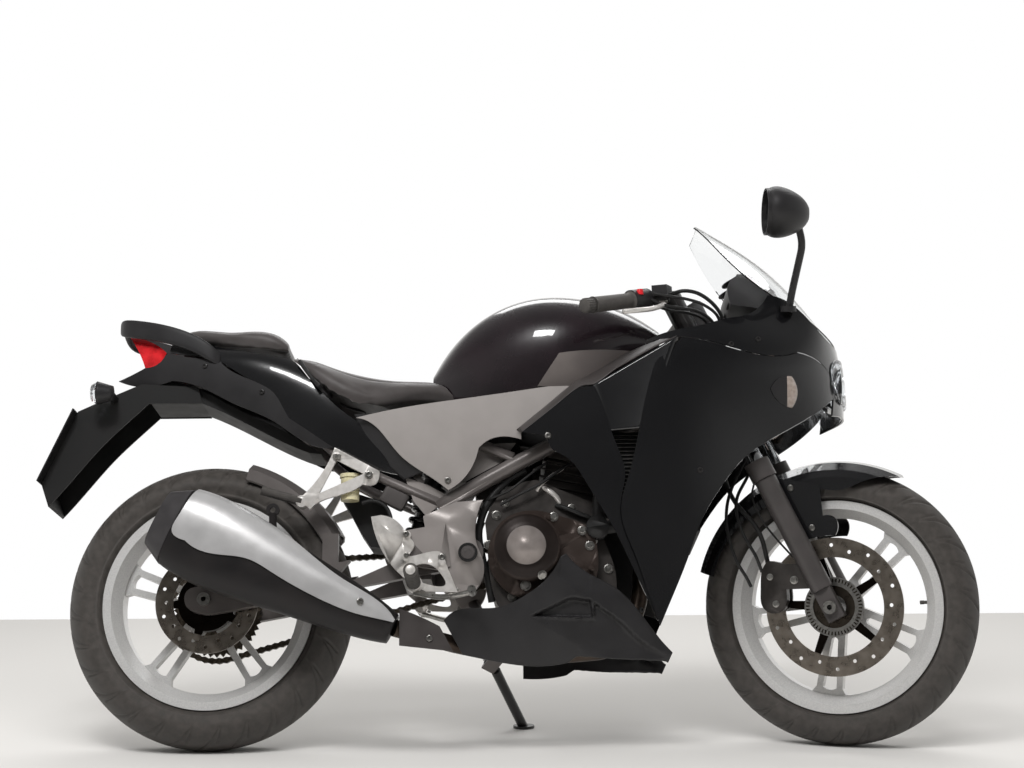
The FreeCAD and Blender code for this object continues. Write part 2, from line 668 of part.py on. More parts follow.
rear_tyre_radius = bead_radius + rear_tyre_height
front_tyre_radius = bead_radius + front_tyre_height
rake = math.radians(rake_deg)
trail = (front_tyre_radius * math.sin(rake) - fork_offset) / math.cos(rake)
rear_hub = V(0, 0, rear_tyre_radius)
front_hub = V(wheelbase, 0, front_tyre_radius)
steer_foot = V(wheelbase + trail, 0, 0)
steer_line = V(-math.sin(rake), 0, math.cos(rake))
fork_foot = front_hub - steer_line * (front_hub - steer_foot).dot(steer_line)
side_axis = V(0, 1, 0)
up_axis = V(0, 0, 1)


# Shape helpers

def mirrored(shape):
    """The shape and its twin on the other side of the machine."""
    return Part.makeCompound([shape, shape.mirror(V(0, 0, 0), side_axis)])


def joined(shapes):
    """One solid out of touching shapes."""
    whole = shapes[0].multiFuse(shapes[1:])
    return whole.removeSplitter()


def largest(shape):
    """The main solid of a cut, without loose slivers."""
    return max(shape.Solids, key=lambda solid: solid.Volume)


def spread(shares, x_low, z_low, length, height):
    """Places a table of shares in its box in the XZ plane."""
    return [(x_low + s[0] * length, z_low + s[1] * height) + tuple(s[2:]) for s in shares]


def curve(points):
    """A straight edge, an arc or a smooth spline through the points."""
    if len(points) == 2:
        return Part.LineSegment(points[0], points[1]).toShape()
    spline = Part.BSplineCurve()
    spline.interpolate(points)
    return spline.toShape()


def outline(points):
    """A closed wire in the XZ plane, smooth between its sharp points."""
    places = [V(p[0], 0, p[1]) for p in points]
    corners = [i for i, p in enumerate(points) if len(p) > 2]
    if not corners:
        spline = Part.BSplineCurve()
        spline.interpolate(places, PeriodicFlag=True)
        return Part.Wire([spline.toShape()])
    first = corners[0]
    order = list(range(first, len(points))) + list(range(first + 1))
    edges = []
    run = [places[first]]
    for i in order[1:]:
        run.append(places[i])
        if i in corners:
            edges.append(curve(run))
            run = [places[i]]
    return Part.Wire(edges)


def prism(points, y_low, y_high):
    """The outline carried across from y_low to y_high."""
    face = Part.Face(outline(points))
    face.translate(V(0, y_low, 0))
    return face.extrude(V(0, y_high - y_low, 0))


def rod(start, end, radius):
    return Part.makeCylinder(radius, (end - start).Length, start, end - start)


def block(x_low, x_high, y_low, y_high, z_low, z_high):
    return Part.makeBox(x_high - x_low, y_high - y_low, z_high - z_low, V(x_low, y_low, z_low))


def route(points):
    """Straight runs joined by tangent arcs."""
    edges = []
    start = points[0]
    for before, turn, after in zip(points, points[1:], points[2:]):
        back = before - turn
        ahead = after - turn
        cut = 0.45 * min(back.Length, ahead.Length)
        back.normalize()
        ahead.normalize()
        half_turn = back.getAngle(ahead) / 2
        middle = back + ahead
        middle.normalize()
        centre_gap = cut / math.cos(half_turn)
        radius = cut * math.tan(half_turn)
        inward = turn + back * cut
        outward = turn + ahead * cut
        edges.append(Part.LineSegment(start, inward).toShape())
        edges.append(Part.Arc(inward, turn + middle * (centre_gap - radius), outward).toShape())
        start = outward
    edges.append(Part.LineSegment(start, points[-1]).toShape())
    return Part.Wire(edges)


def tube(points, radius):
    """A round bar along a route."""
    places = [V(*p) for p in points]
    ring = Part.Wire(Part.makeCircle(radius, places[0], places[1] - places[0]))
    return route(places).makePipeShell([ring], True, True)


def turned(profile, centre):
    """A profile of (radius, side) corners turned about a wheel's axle."""
    corners = [V(r, y, 0) for r, y in profile]
    face = Part.Face(Part.makePolygon(corners + corners[:1]))
    solid = face.revolve(V(0, 0, 0), side_axis, 360)
    solid.translate(centre)
    return solid


def washer(centre, outer, inner, y_low, y_high):
    """A flat ring or drum about a side-to-side axis."""
    drum = Part.makeCylinder(outer, y_high - y_low, V(centre.x, centre.y + y_low, centre.z), side_axis)
    if inner:
        drum = drum.cut(Part.makeCylinder(inner, y_high - y_low, V(centre.x, centre.y + y_low, centre.z), side_axis))
    return drum


def sheet(x_low, length, z_low, height, side, rows):
    """A smooth right-hand face whose distance from the middle follows a table of shares."""
    places = []
    for j, row in enumerate(rows):
        z = z_low + height * j / (len(rows) - 1)
        places.append([V(x_low + length * i / (len(row) - 1), -side * share, z) for i, share in enumerate(row)])
    surface = Part.BSplineSurface()
    surface.interpolate(places)
    return surface.toShape()


def solid_of(shape):
    """The shape with its faces pointing outwards."""
    if shape.Volume < 0:
        shape.reverse()
    return shape


def panel(points, skin, wall, deepest):
    """A curved cover as thick as its wall, cut to its outline; right side."""
    slab = solid_of(skin.extrude(V(0, wall, 0)))
    return slab.common(prism(points, -deepest, 0))


def station(x, half_width, z_low, z_high, section):
    """An upright closed section at x: a table of side and height shares, mirrored."""
    right = [V(x, -half_width * s[0], z_low + (z_high - z_low) * s[1]) for s in section]
    left = [V(p.x, -p.y, p.z) for p in reversed(right[:-1])]
    edges = []
    run = [right[0]]
    marks = [len(s) > 2 for s in section]
    marks = marks + list(reversed(marks[:-1]))
    for place, corner in zip(right[1:] + left, marks[1:]):
        run.append(place)
        if corner or place == left[-1]:
            edges.append(curve(run))
            run = [place]
    edges.append(curve([left[-1], right[0]]))
    return Part.Wire(edges)


def lofted(wires):
    return solid_of(Part.makeLoft(wires, True, False))


def body_of_stations(x, length, z, height, half_width, places, widths, tops, bottoms, section, inset=0.0):
    """A closed body through its stations, or its hollow when inset is a wall."""
    wires = []
    for at, wide, top, bottom in zip(places, widths, tops, bottoms):
        wires.append(station(x + at * length, wide * half_width - inset, z + bottom * height + inset,
                             z + top * height - inset, section))
    return lofted(wires)


def bolt_circle(centre, radius, count, start_deg=0.0):
    """Places on a circle about a side-to-side axis."""
    turns = [math.radians(start_deg) + 2 * math.pi * k / count for k in range(count)]
    return [V(centre.x + radius * math.cos(t), centre.y, centre.z + radius * math.sin(t)) for t in turns]


# Wheels

def tyre(height, half_width, rim_half_width, centre):
    bead_side = rim_half_width - flange_thickness - seat_gap
    inner = bead_radius + seat_gap
    right = [(bead_radius + s[0] * height, -s[1] * half_width) for s in tyre_section_shares]
    left = [(r, -y) for r, y in reversed(right[1:])]
    profile = left + right + [(bead_radius + flange_height, -bead_side), (inner, -bead_side), (inner, bead_side),
                              (bead_radius + flange_height, bead_side)]
    return turned(profile, centre)


def rim(half_width, hub_half_width, centre, start_deg):
    lip = bead_radius + flange_height
    side = half_width - flange_thickness
    well = half_width * well_share
    floor = bead_radius - well_depth
    outside = [(lip, -half_width), (lip, -side), (bead_radius, -side), (bead_radius, -well - flange_thickness),
               (floor, -well)]
    inside = [(floor - barrel_thickness, -well), (bead_radius - barrel_thickness, -half_width)]
    left_outside = [(r, -y) for r, y in reversed(outside)]
    left_inside = [(r, -y) for r, y in reversed(inside)]
    barrel = turned(outside + left_outside + left_inside + inside, centre)
    pieces = [barrel, washer(centre, hub_radius, 0, -hub_half_width, hub_half_width)]
    for k in range(spoke_count):
        pieces.append(spoke(centre, floor - barrel_thickness / 2, start_deg + 360.0 * k / spoke_count))
    bore = washer(centre, axle_radius + axle_clearance, 0, -hub_half_width, hub_half_width)
    return joined(pieces).cut(bore)


def spoke(centre, outer, turn_deg):
    """A twin-rib spoke: a flared bar with its slot cut out."""
    half_hub = spoke_gap_at_hub / 2 + spoke_rib
    half_rim = spoke_gap / 2 + spoke_rib
    start = hub_radius * 0.8
    flare = outer * 0.9
    bar = [(start, -half_hub, sharp), (flare, -half_rim, sharp), (outer, -half_rim * 1.5, sharp),
           (outer, half_rim * 1.5, sharp), (flare, half_rim, sharp), (start, half_hub, sharp)]
    slot_start = hub_radius * 1.7
    slot = [(slot_start, -spoke_gap_at_hub / 2, sharp), (flare, -spoke_gap / 2, sharp), (flare * 1.03, 0),
            (flare, spoke_gap / 2, sharp), (slot_start, spoke_gap_at_hub / 2, sharp), (slot_start * 0.93, 0)]
    solid = prism(bar, -spoke_depth / 2, spoke_depth / 2)
    solid = solid.cut(prism(slot, -spoke_depth, spoke_depth))
    solid.rotate(V(0, 0, 0), side_axis, -turn_deg)
    solid.translate(centre)
    return solid


def disc(outer, inner, side, centre, start_deg, hub_half_width):
    """A brake disc on the right with its bolted carrier arms."""
    middle = V(centre.x, centre.y - side, centre.z)
    half = disc_thickness / 2
    ring = washer(middle, outer, inner, -half, half)
    hole_circle = (outer + inner) / 2
    spread_out = (outer - inner) / 4
    for k in range(disc_hole_count):
        radius = hole_circle + spread_out * (k % 2 - 0.5)
        place = bolt_circle(middle, radius, disc_hole_count)[k]
        ring = ring.cut(washer(place, disc_hole_radius, 0, -disc_thickness, disc_thickness))
    hub = washer(middle, disc_hub_radius, hub_radius * 0.6, -half, side - hub_half_width)
    pieces = [ring, hub]
    for place in bolt_circle(middle, inner + disc_arm_width * 0.3, disc_arm_count, start_deg):
        ray = place - middle
        ray.normalize()
        across = V(-ray.z, 0, ray.x) * (disc_arm_width / 2)
        root = middle + ray * (disc_hub_radius * 0.9)
        arm = Part.makePolygon([root - across, place - across * 0.7, place + across * 0.7, root + across, root - across])
        plate = Part.Face(arm).extrude(side_axis * disc_thickness)
        plate.translate(-side_axis * half)
        pieces.append(plate)
        pieces.append(washer(place, disc_arm_width * 0.4, 0, -disc_thickness, half))
    return joined(pieces)


def axle(centre, half_length):
    """A hollow axle from side to side with its nut."""
    bar = washer(centre, axle_radius, 0, -half_length, half_length)
    ends = [washer(centre, axle_nut_radius, 0, -half_length - axle_nut_length, -half_length),
            washer(centre, axle_nut_radius, 0, half_length, half_length + axle_nut_length)]
    bore = washer(centre, axle_bore_radius, 0, -half_length - axle_nut_length, half_length + axle_nut_length)
    return joined([bar] + ends).cut(bore)


def toothed(centre, tip, teeth, y_low, y_high, inner):
    """A sprocket with its teeth as pointed lobes."""
    corners = []
    for k in range(2 * teeth):
        radius = tip if k % 2 else tip - tooth_height
        turn = math.pi * k / teeth
        corners.append((centre.x + radius * math.cos(turn), centre.z + radius * math.sin(turn), sharp))
    plate = prism(corners, y_low, y_high)
    return plate.cut(washer(V(centre.x, 0, centre.z), inner, 0, y_low, y_high))


def rear_sprocket(tip):
    """The driven sprocket on its carrier, which meets the rear hub."""
    low = chain_side - sprocket_thickness / 2
    ring = toothed(rear_hub, tip, rear_teeth, low, chain_side + sprocket_thickness / 2, sprocket_inner_radius)
    plate = washer(rear_hub, carrier_radius, 0, low - carrier_thickness, low)
    boss = washer(rear_hub, carrier_hub_radius, 0, rear_hub_half_width + seat_gap, low)
    for place in bolt_circle(rear_hub, (carrier_radius + carrier_hub_radius) / 2, spoke_count):
        plate = plate.cut(washer(place, (carrier_radius - carrier_hub_radius) / 4, 0, low - carrier_thickness, low))
    return joined([ring, plate, boss]).cut(washer(rear_hub, axle_radius + axle_clearance, 0, 0, chain_side))


def pulley_radius(teeth):
    return chain_pitch / (2 * math.sin(math.pi / teeth))


def chain_place(distance, rear, front, rear_r, front_r):
    """A point along the chain's closed path and its outward direction."""
    line = front - rear
    span = line.Length
    tilt = math.acos((rear_r - front_r) / span)
    heading = math.atan2(line.z, line.x)
    straight = math.sqrt(span ** 2 - (rear_r - front_r) ** 2)
    top = heading + tilt
    front_arc = 2 * tilt * front_r
    rear_arc = 2 * (math.pi - tilt) * rear_r
    out = V(math.cos(top), 0, math.sin(top))
    if distance < straight:
        along = V(math.sin(top), 0, -math.cos(top))
        return rear + out * rear_r + along * distance, out
    distance -= straight
    if distance < front_arc:
        turn = top - distance / front_r
        out = V(math.cos(turn), 0, math.sin(turn))
        return front + out * front_r, out
    distance -= front_arc
    low = heading - tilt
    if distance < straight:
        out = V(math.cos(low), 0, math.sin(low))
        along = V(math.sin(low), 0, -math.cos(low))
        return front + out * front_r + along * distance, out
    distance -= straight
    turn = low - distance / rear_r
    out = V(math.cos(turn), 0, math.sin(turn))
    return rear + out * rear_r, out


def chain():
    """The chain as one fixed loop, wide at each pin and narrow between pins."""
    rear = V(rear_hub.x, 0, rear_hub.z)
    front = V(drive_shaft_x, 0, drive_shaft_z)
    rear_r = pulley_radius(rear_teeth)
    front_r = pulley_radius(front_teeth)
    span = (front - rear).Length
    tilt = math.acos((rear_r - front_r) / span)
    straight = math.sqrt(span ** 2 - (rear_r - front_r) ** 2)
    length = 2 * straight + 2 * tilt * front_r + 2 * (math.pi - tilt) * rear_r
    links = round(length / chain_pitch)
    outer, inner = [], []
    for k in range(2 * links):
        place, out = chain_place(length * k / (2 * links), rear, front, rear_r, front_r)
        half = (chain_waist_height if k % 2 else chain_plate_height) / 2
        outer.append((place.x + out.x * half, place.z + out.z * half, sharp))
        inner.append((place.x - out.x * half, place.z - out.z * half, sharp))
    low = chain_side - chain_width / 2
    high = chain_side + chain_width / 2
    return prism(outer, low, high).cut(prism(inner, low, high))


# Fork and steering

def fork_point(along, side=0.0, ahead=0.0):
    """A place measured up the fork from the front axle."""
    forward = V(math.cos(rake), 0, math.sin(rake))
    return front_hub + steer_line * along + forward * ahead + V(0, side, 0)


def fork_pair(make):
    return Part.makeCompound([make(-fork_side), make(fork_side)])


def stanchion(side):
    return rod(fork_point(slider_length + seat_gap, side), fork_point(stanchion_top, side), stanchion_radius)


def slider(side):
    lug_back = fork_point(0, side, -axle_lug_half_depth)
    tube_part = rod(fork_point(slider_bottom, side), fork_point(slider_length, side), slider_radius)
    collar = rod(fork_point(slider_length - slider_collar_length, side), fork_point(slider_length, side),
                 slider_collar_radius)
    lug = Part.makeBox(axle_lug_width, axle_lug_half_depth * 2, axle_lug_length + slider_bottom,
                       V(-axle_lug_width / 2, -axle_lug_half_depth, -axle_lug_length / 2))
    lug.rotate(V(0, 0, 0), side_axis, -rake_deg)
    lug.translate(front_hub + V(0, side, 0))
    whole = joined([tube_part, collar, lug])
    hole = washer(front_hub + V(0, side, 0), axle_radius + axle_clearance, 0, -slider_collar_radius,
                  slider_collar_radius)
    return whole.cut(hole)


def yoke(along, thickness):
    """A fork clamp plate: a bridge with a round clamp at each leg."""
    low = along - thickness / 2
    high = along + thickness / 2
    parts = [rod(fork_point(low, side), fork_point(high, side), yoke_clamp_radius) for side in (-fork_side, fork_side)]
    bridge = Part.makeBox(2 * yoke_half_depth, 2 * fork_side, thickness, V(-yoke_half_depth, -fork_side, -thickness / 2))
    bridge.rotate(V(0, 0, 0), side_axis, -rake_deg)
    bridge.translate(fork_point(along, 0, -fork_offset / 2))
    plate = joined(parts + [bridge])
    for side in (-fork_side, fork_side):
        plate = plate.cut(rod(fork_point(low - thickness, side), fork_point(high + thickness, side), stanchion_radius))
    return plate


def yokes():
    low = yoke(lower_yoke_at, lower_yoke_thickness)
    high = yoke(upper_yoke_at, upper_yoke_thickness)
    stem = rod(fork_point(lower_yoke_at - lower_yoke_thickness / 2, 0, -fork_offset),
               fork_point(upper_yoke_at + upper_yoke_thickness, 0, -fork_offset), stem_radius)
    bore = rod(fork_point(lower_yoke_at - lower_yoke_thickness, 0, -fork_offset),
               fork_point(upper_yoke_at + 2 * upper_yoke_thickness, 0, -fork_offset), stem_bore_radius)
    return joined([low, stem, high]).cut(bore)


def head_tube():
    low = lower_yoke_at + lower_yoke_thickness / 2 + overrun / 2
    high = upper_yoke_at - upper_yoke_thickness / 2 - overrun / 2
    outer = rod(fork_point(low, 0, -fork_offset), fork_point(high, 0, -fork_offset), head_tube_radius)
    inner = rod(fork_point(low, 0, -fork_offset), fork_point(high, 0, -fork_offset), stem_radius + stem_clearance)
    return outer, inner


def bar_line():
    start = V(bar_inner_x, -bar_inner_y, bar_inner_z)
    end = V(bar_outer_x, -bar_outer_y, bar_outer_z)
    return start, end, (end - start).normalize()


def handlebar():
    """A clip-on bar with its clamp on the fork leg; right side."""
    start, end, line = bar_line()
    bar = rod(start, end - line * bar_end_length, bar_radius)
    clamp_at = upper_yoke_at + upper_yoke_thickness / 2 + seat_gap
    riser = rod(fork_point(clamp_at, -fork_side), fork_point(bar_riser_top, -fork_side), bar_riser_radius)
    leg = rod(fork_point(0, -fork_side), fork_point(stanchion_top + seat_gap, -fork_side), stanchion_radius + bar_clamp_gap)
    return joined([bar, riser]).cut(leg)


def grip():
    start, end, line = bar_line()
    rubber_start = end - line * (bar_end_length + grip_length)
    sleeve = rod(rubber_start, end - line * (bar_end_length + seat_gap), grip_radius)
    return sleeve.cut(rod(rubber_start, end, bar_radius))


def bar_end():
    start, end, line = bar_line()
    return rod(end - line * bar_end_length, end, bar_end_radius)


def switch_box():
    start, end, line = bar_line()
    inner = end - line * (bar_end_length + grip_length + seat_gap + switch_length)
    box = rod(inner, inner + line * switch_length, switch_radius)
    return box.cut(rod(inner, inner + line * switch_length, bar_radius))


def lever():
    start, end, line = bar_line()
    root = end - line * (bar_end_length + grip_length + switch_length * 1.2)
    ahead = V(lever_reach, 0, -lever_drop)
    pivot = root + ahead * 0.6
    middle = root + line * lever_length * 0.45 + ahead
    tip = root + line * lever_length + ahead * 0.92
    blade = tube([tuple(root + V(0, 0, -lever_drop * 0.3)), tuple(pivot), tuple(middle), tuple(tip)], lever_radius)
    return largest(blade.cut(handlebar().fuse(switch_box())))


def brake_master():
    """The front brake's fluid pot above its lever, with the pump on the bar."""
    start, end, line = bar_line()
    root = end - line * (bar_end_length + grip_length + switch_length * 1.2)
    ahead = V(reservoir_width / 2 + bar_radius, 0, reservoir_lift)
    pot = block(-reservoir_width / 2, reservoir_width / 2, -reservoir_length / 2, reservoir_length / 2, 0,
                reservoir_height)
    pot.translate(root + ahead)
    pump = rod(root + V(0, 0, reservoir_lift / 2), root + ahead * 1.5, switch_radius * 0.6)
    return largest(joined([pot, pump]).cut(handlebar().fuse([switch_box(), lever()])))


def front_fender():
    """A shell bent round the tyre, with side skirts, open below."""
    outer = front_tyre_radius + fender_gap + fender_wall
    crown = [(outer, 0), (outer - fender_gap * 0.3, fender_half_width * 0.5), (outer - fender_gap * 1.4,
             fender_half_width * 0.86), (outer - fender_skirt * 0.55, fender_half_width), (outer - fender_skirt,
             fender_half_width * 0.98)]
    inside = [(r - fender_wall, y - (fender_wall if y else 0)) for r, y in crown]
    inside[-1] = (crown[-1][0], crown[-1][1] - fender_wall)
    right = [(r, -y) for r, y in reversed(crown[1:])]
    right_inside = [(r, -y) for r, y in reversed(inside[1:])]
    profile = right + crown + list(reversed(right_inside + inside))
    corners = [V(r, y, 0) for r, y in profile]
    face = Part.Face(Part.makePolygon(corners + corners[:1]))
    face.rotate(V(0, 0, 0), side_axis, -fender_front_deg)
    shell = face.revolve(V(0, 0, 0), side_axis, -(fender_rear_deg - fender_front_deg))
    shell.translate(front_hub)
    return largest(solid_of(shell).cut(below_fender(outer)))


def below_fender(outer):
    """All that lies under the skirts' edge in the side view, from the axle out to the edge."""
    span = fender_rear_deg - fender_front_deg
    places = []
    for turn, depth in fender_edge_shares:
        angle = math.radians(fender_front_deg + turn * span)
        places.append(front_hub + V(math.cos(angle), 0, math.sin(angle)) * (outer - depth * fender_skirt))
    sides = [Part.LineSegment(front_hub, places[0]).toShape(), Part.LineSegment(places[-1], front_hub).toShape()]
    face = Part.Face(Part.Wire([sides[0], curve(places), sides[1]]))
    face.translate(V(0, -reach, 0))
    return face.extrude(V(0, 2 * reach, 0))


def fender_stays():
    points = spread(fender_stay_shares, stay_x, stay_z, stay_length, stay_height)
    low = fork_side - slider_radius - seat_gap - stay_thickness
    right = prism(points, -low - stay_thickness, -low)
    room = washer(front_hub, front_disc_radius + disc_edge_gap, 0, -fork_side, fork_side)
    right = right.cut(room)
    return [right, right.mirror(V(0, 0, 0), side_axis)]


def front_caliper():
    points = spread(caliper_shares, caliper_x, caliper_z, caliper_length, caliper_height)
    body = prism(points, -front_disc_side - caliper_outer, -front_disc_side + caliper_inner)
    lug = block(caliper_lug_x, caliper_lug_x + caliper_lug_length, -caliper_lug_side,
                -caliper_lug_side + caliper_lug_width, caliper_lug_z, caliper_lug_z + caliper_lug_height)
    leg = rod(fork_point(0, -fork_side), fork_point(slider_length, -fork_side), slider_radius + seat_gap)
    body = joined([body, lug]).cut(leg)
    return body.cut(disc_slot(front_hub, front_disc_side, front_disc_radius, front_disc_inner_radius))


def disc_slot(hub, side, outer, inner):
    """The room a caliper leaves for its disc and for the carrier's bolt heads."""
    middle = hub - V(0, side, 0)
    slot = washer(middle, outer + disc_edge_gap, 0, -disc_thickness / 2 - pad_gap, disc_thickness / 2 + pad_gap)
    carrier = washer(middle, inner + disc_arm_width * 0.7 + carrier_gap, 0, -disc_thickness - carrier_gap,
                     disc_thickness / 2 + carrier_gap)
    return slot.fuse(carrier)


def brake_hose():
    """The hose from the caliper up to the lower yoke."""
    foot = V(caliper_x + caliper_length * 0.25, -front_disc_side - caliper_outer * 0.5, caliper_z + caliper_height * 0.9)
    top = fork_point(lower_yoke_at, -fork_side * 0.55, -yoke_half_depth - fork_offset / 2)
    return foot, top


# Frame and swingarm

def frame_main():
    pieces = []
    outer, inner = head_tube()
    pieces.append(outer)
    for points, radius in ((spar_route, spar_radius), (down_tube_route, down_tube_radius)):
        right = tube(points, radius)
        pieces += [right, right.mirror(V(0, 0, 0), side_axis)]
    for plate in (pivot_plate(), step_hanger()):
        pieces += [plate, plate.mirror(V(0, 0, 0), side_axis)]
    pieces += subframe() + [stand_bracket(), tube(dash_stay_route, nose_stay_radius)]
    pieces.append(nose_stay())
    cross = V(cross_tube_x, 0, cross_tube_z)
    pieces.append(washer(cross, cross_tube_radius, 0, -pivot_plate_inner, pivot_plate_inner))
    pieces.append(pivot_bolt())
    case = crankcase_outline()
    case.translate(V(seat_gap, 0, 0))
    return joined(pieces).cut(inner.fuse([case, dashboard()]))


def nose_stay():
    """The tube that carries the dash, the lamp and the cowls; it ends just behind the lamp."""
    lamp = fairing_prism(lamp_shares, -reach, reach)
    behind = lamp.copy()
    behind.translate(V(-seat_gap, 0, 0))
    return largest(tube(nose_stay_route, nose_stay_radius).cut(lamp.fuse(behind)))


def pivot_plate():
    points = spread(pivot_plate_shares, pivot_plate_x, pivot_plate_z, pivot_plate_length, pivot_plate_height)
    return prism(points, -pivot_plate_inner - pivot_plate_thickness, -pivot_plate_inner)


def pivot_bolt():
    pivot = V(pivot_x, 0, pivot_z)
    outside = pivot_plate_inner + pivot_plate_thickness
    caps = [washer(pivot, pivot_cap_radius, 0, -outside - pivot_cap_height, -outside),
            washer(pivot, pivot_cap_radius, 0, outside, outside + pivot_cap_height)]
    return joined([washer(pivot, pivot_bolt_radius, 0, -outside, outside)] + caps)


def subframe():
    pieces = []
    for points, radius in ((seat_rail_route, seat_rail_radius), (stay_tube_route, stay_tube_radius)):
        right = tube(points, radius)
        pieces += [right, right.mirror(V(0, 0, 0), side_axis)]
    pieces.append(washer(V(tail_cross_x, 0, tail_cross_z), stay_tube_radius, 0, -tail_cross_half_width,
                         tail_cross_half_width))
    pieces.append(washer(V(shock_top_x, 0, shock_top_z), stay_tube_radius, 0, -shock_cross_half_width,
                         shock_cross_half_width))
    for x, z in spread(pillion_bolt_shares, pillion_plate_x, pillion_plate_z, pillion_plate_length,
                       pillion_plate_height):
        for low, high in ((-pillion_plate_inner, -spacer_root), (spacer_root, pillion_plate_inner)):
            pieces.append(washer(V(x, 0, z), spacer_radius, 0, low, high))
    return pieces


def step_hanger():
    """The plate between the frame and the rider's step bracket."""
    points = spread(step_hanger_shares, step_plate_x, step_plate_z, step_plate_length, step_plate_height)
    return prism(points, -step_plate_inner + seat_gap, -pivot_plate_inner - pivot_plate_thickness / 2)


def swingarm():
    points = spread(arm_shares, arm_x, arm_z, arm_length, arm_height)
    arms = [prism(points, side - arm_half_thickness, side + arm_half_thickness) for side in (-arm_side, arm_side)]
    cross = block(cross_x, cross_x + cross_length, -arm_side, arm_side, cross_z, cross_z + cross_height)
    pivot = V(pivot_x, 0, pivot_z)
    outside = arm_side + arm_half_thickness
    tube_solid = washer(pivot, pivot_tube_radius, 0, -outside, outside)
    arm = joined(arms + [cross, tube_solid])
    arm = arm.cut(washer(pivot, pivot_bolt_radius + seat_gap, 0, -outside, outside))
    return arm.cut(washer(rear_hub, axle_radius + axle_clearance, 0, -outside, outside))


def rear_shock():
    top = V(shock_top_x, 0, shock_top_z)
    foot = V(shock_foot_x, 0, cross_z + cross_height + shock_eye_radius + shock_foot_gap)
    line = top - foot
    eye_half = shock_eye_radius
    bar = rod(foot, top, shock_rod_radius)
    pieces = [bar, rod(foot + line * 0.12, foot + line * 0.88, shock_body_radius)]
    for k in range(shock_coils):
        centre = foot + line * (0.18 + 0.64 * k / (shock_coils - 1))
        pieces.append(Part.makeTorus(shock_spring_radius - shock_wire_radius, shock_wire_radius, centre, line))
    for share in (0.12, 0.88):
        centre = foot + line * share
        pieces.append(rod(centre - line * 0.03, centre + line * 0.03, shock_spring_radius))
    pieces += [washer(place, shock_eye_radius, 0, -eye_half, eye_half) for place in (top, foot)]
    return joined(pieces).cut(washer(top, stay_tube_radius + seat_gap, 0, -reach, reach))


# Engine, cooling and exhaust

def tilted_block(x, z, length, half_width, low, high):
    """A block on the cylinder's leaning line, between two heights along it."""
    solid = block(-length / 2, length / 2, -half_width, half_width, low, high)
    solid.rotate(V(0, 0, 0), side_axis, cylinder_lean_deg)
    solid.translate(V(x, 0, z))
    return solid


def crankcase_outline():
    points = spread(case_shares, case_x, case_z, case_length, case_height)
    return prism(points, -case_half_width, case_half_width)


def crankcase():
    pocket = block(case_x - overrun, chain_pocket_x, chain_pocket_side, case_half_width + overrun, case_z - overrun,
                   case_z + case_height + overrun)
    case = crankcase_outline().cut(pocket)
    shaft = rod(V(drive_shaft_x, chain_pocket_side - overrun, drive_shaft_z),
                V(drive_shaft_x, chain_side + chain_width / 2, drive_shaft_z), drive_shaft_radius)
    return joined([case, shaft])


def front_sprocket():
    radius = pulley_radius(front_teeth) - chain_plate_height / 2 - seat_gap
    centre = V(drive_shaft_x, 0, drive_shaft_z)
    half = sprocket_thickness / 2
    return washer(centre, radius, drive_shaft_radius + seat_gap, chain_side - half, chain_side + half)


def cylinder():
    core = tilted_block(cylinder_x, cylinder_z, cylinder_length, cylinder_half_width, 0, cylinder_height)
    fins = []
    for k in range(fin_count):
        low = cylinder_height * (k + 0.5) / fin_count
        fins.append(tilted_block(cylinder_x, cylinder_z, cylinder_length + 2 * fin_overhang,
                                 cylinder_half_width + fin_overhang, low, low + fin_thickness))
    return largest(joined([core] + fins).cut(crankcase_outline()))


def cylinder_head():
    low = cylinder_height + seat_gap
    head = tilted_block(cylinder_x, cylinder_z, head_length, head_half_width, low, low + head_height)
    top_edges = [e for e in head.Edges if e.CenterOfMass.z > head.CenterOfMass.z + head_height * 0.35]
    return head.makeFillet(head_round, top_edges)


def clutch_cover():
    """The right engine cover: a bossed casting with its round clutch dome and bolts."""
    points = spread(side_case_shares, side_case_x, side_case_z, side_case_length, side_case_height)
    low = case_half_width + seat_gap
    base = prism(points, -low - side_case_depth, -low)
    centre = V(clutch_x, 0, clutch_z)
    rim_y = low + clutch_depth
    drum = washer(centre, clutch_radius, 0, -rim_y, -low)
    dome = Part.makeCone(clutch_radius, clutch_disc_radius, clutch_dome, centre - side_axis * rim_y, -side_axis)
    face = washer(centre, clutch_disc_radius * 0.94, 0, -rim_y - clutch_dome - clutch_disc_height, -rim_y)
    bolts = []
    for x, z in spread(case_bolt_shares, side_case_x, side_case_z, side_case_length, side_case_height):
        bolts.append(washer(V(x, 0, z), case_bolt_radius, 0, -low - side_case_depth - case_bolt_height, -low))
    pump = washer(V(pump_x, 0, pump_z), pump_radius + seat_gap, 0, -rim_y, -low)
    return joined([base, drum, dome, face] + bolts).cut(pump)


def generator_cover():
    low = case_half_width + seat_gap
    centre = V(generator_x, 0, generator_z)
    drum = washer(centre, generator_radius, 0, low, low + generator_depth)
    rim_edges = [e for e in drum.Edges if e.CenterOfMass.y > low + generator_depth / 2 and len(e.Vertexes) == 1]
    drum = drum.makeFillet(head_round, rim_edges)
    bolts = [washer(p, case_bolt_radius, 0, low, low + side_case_depth)
             for p in bolt_circle(centre, generator_radius + case_bolt_radius / 2, 6)]
    return joined([drum] + bolts)


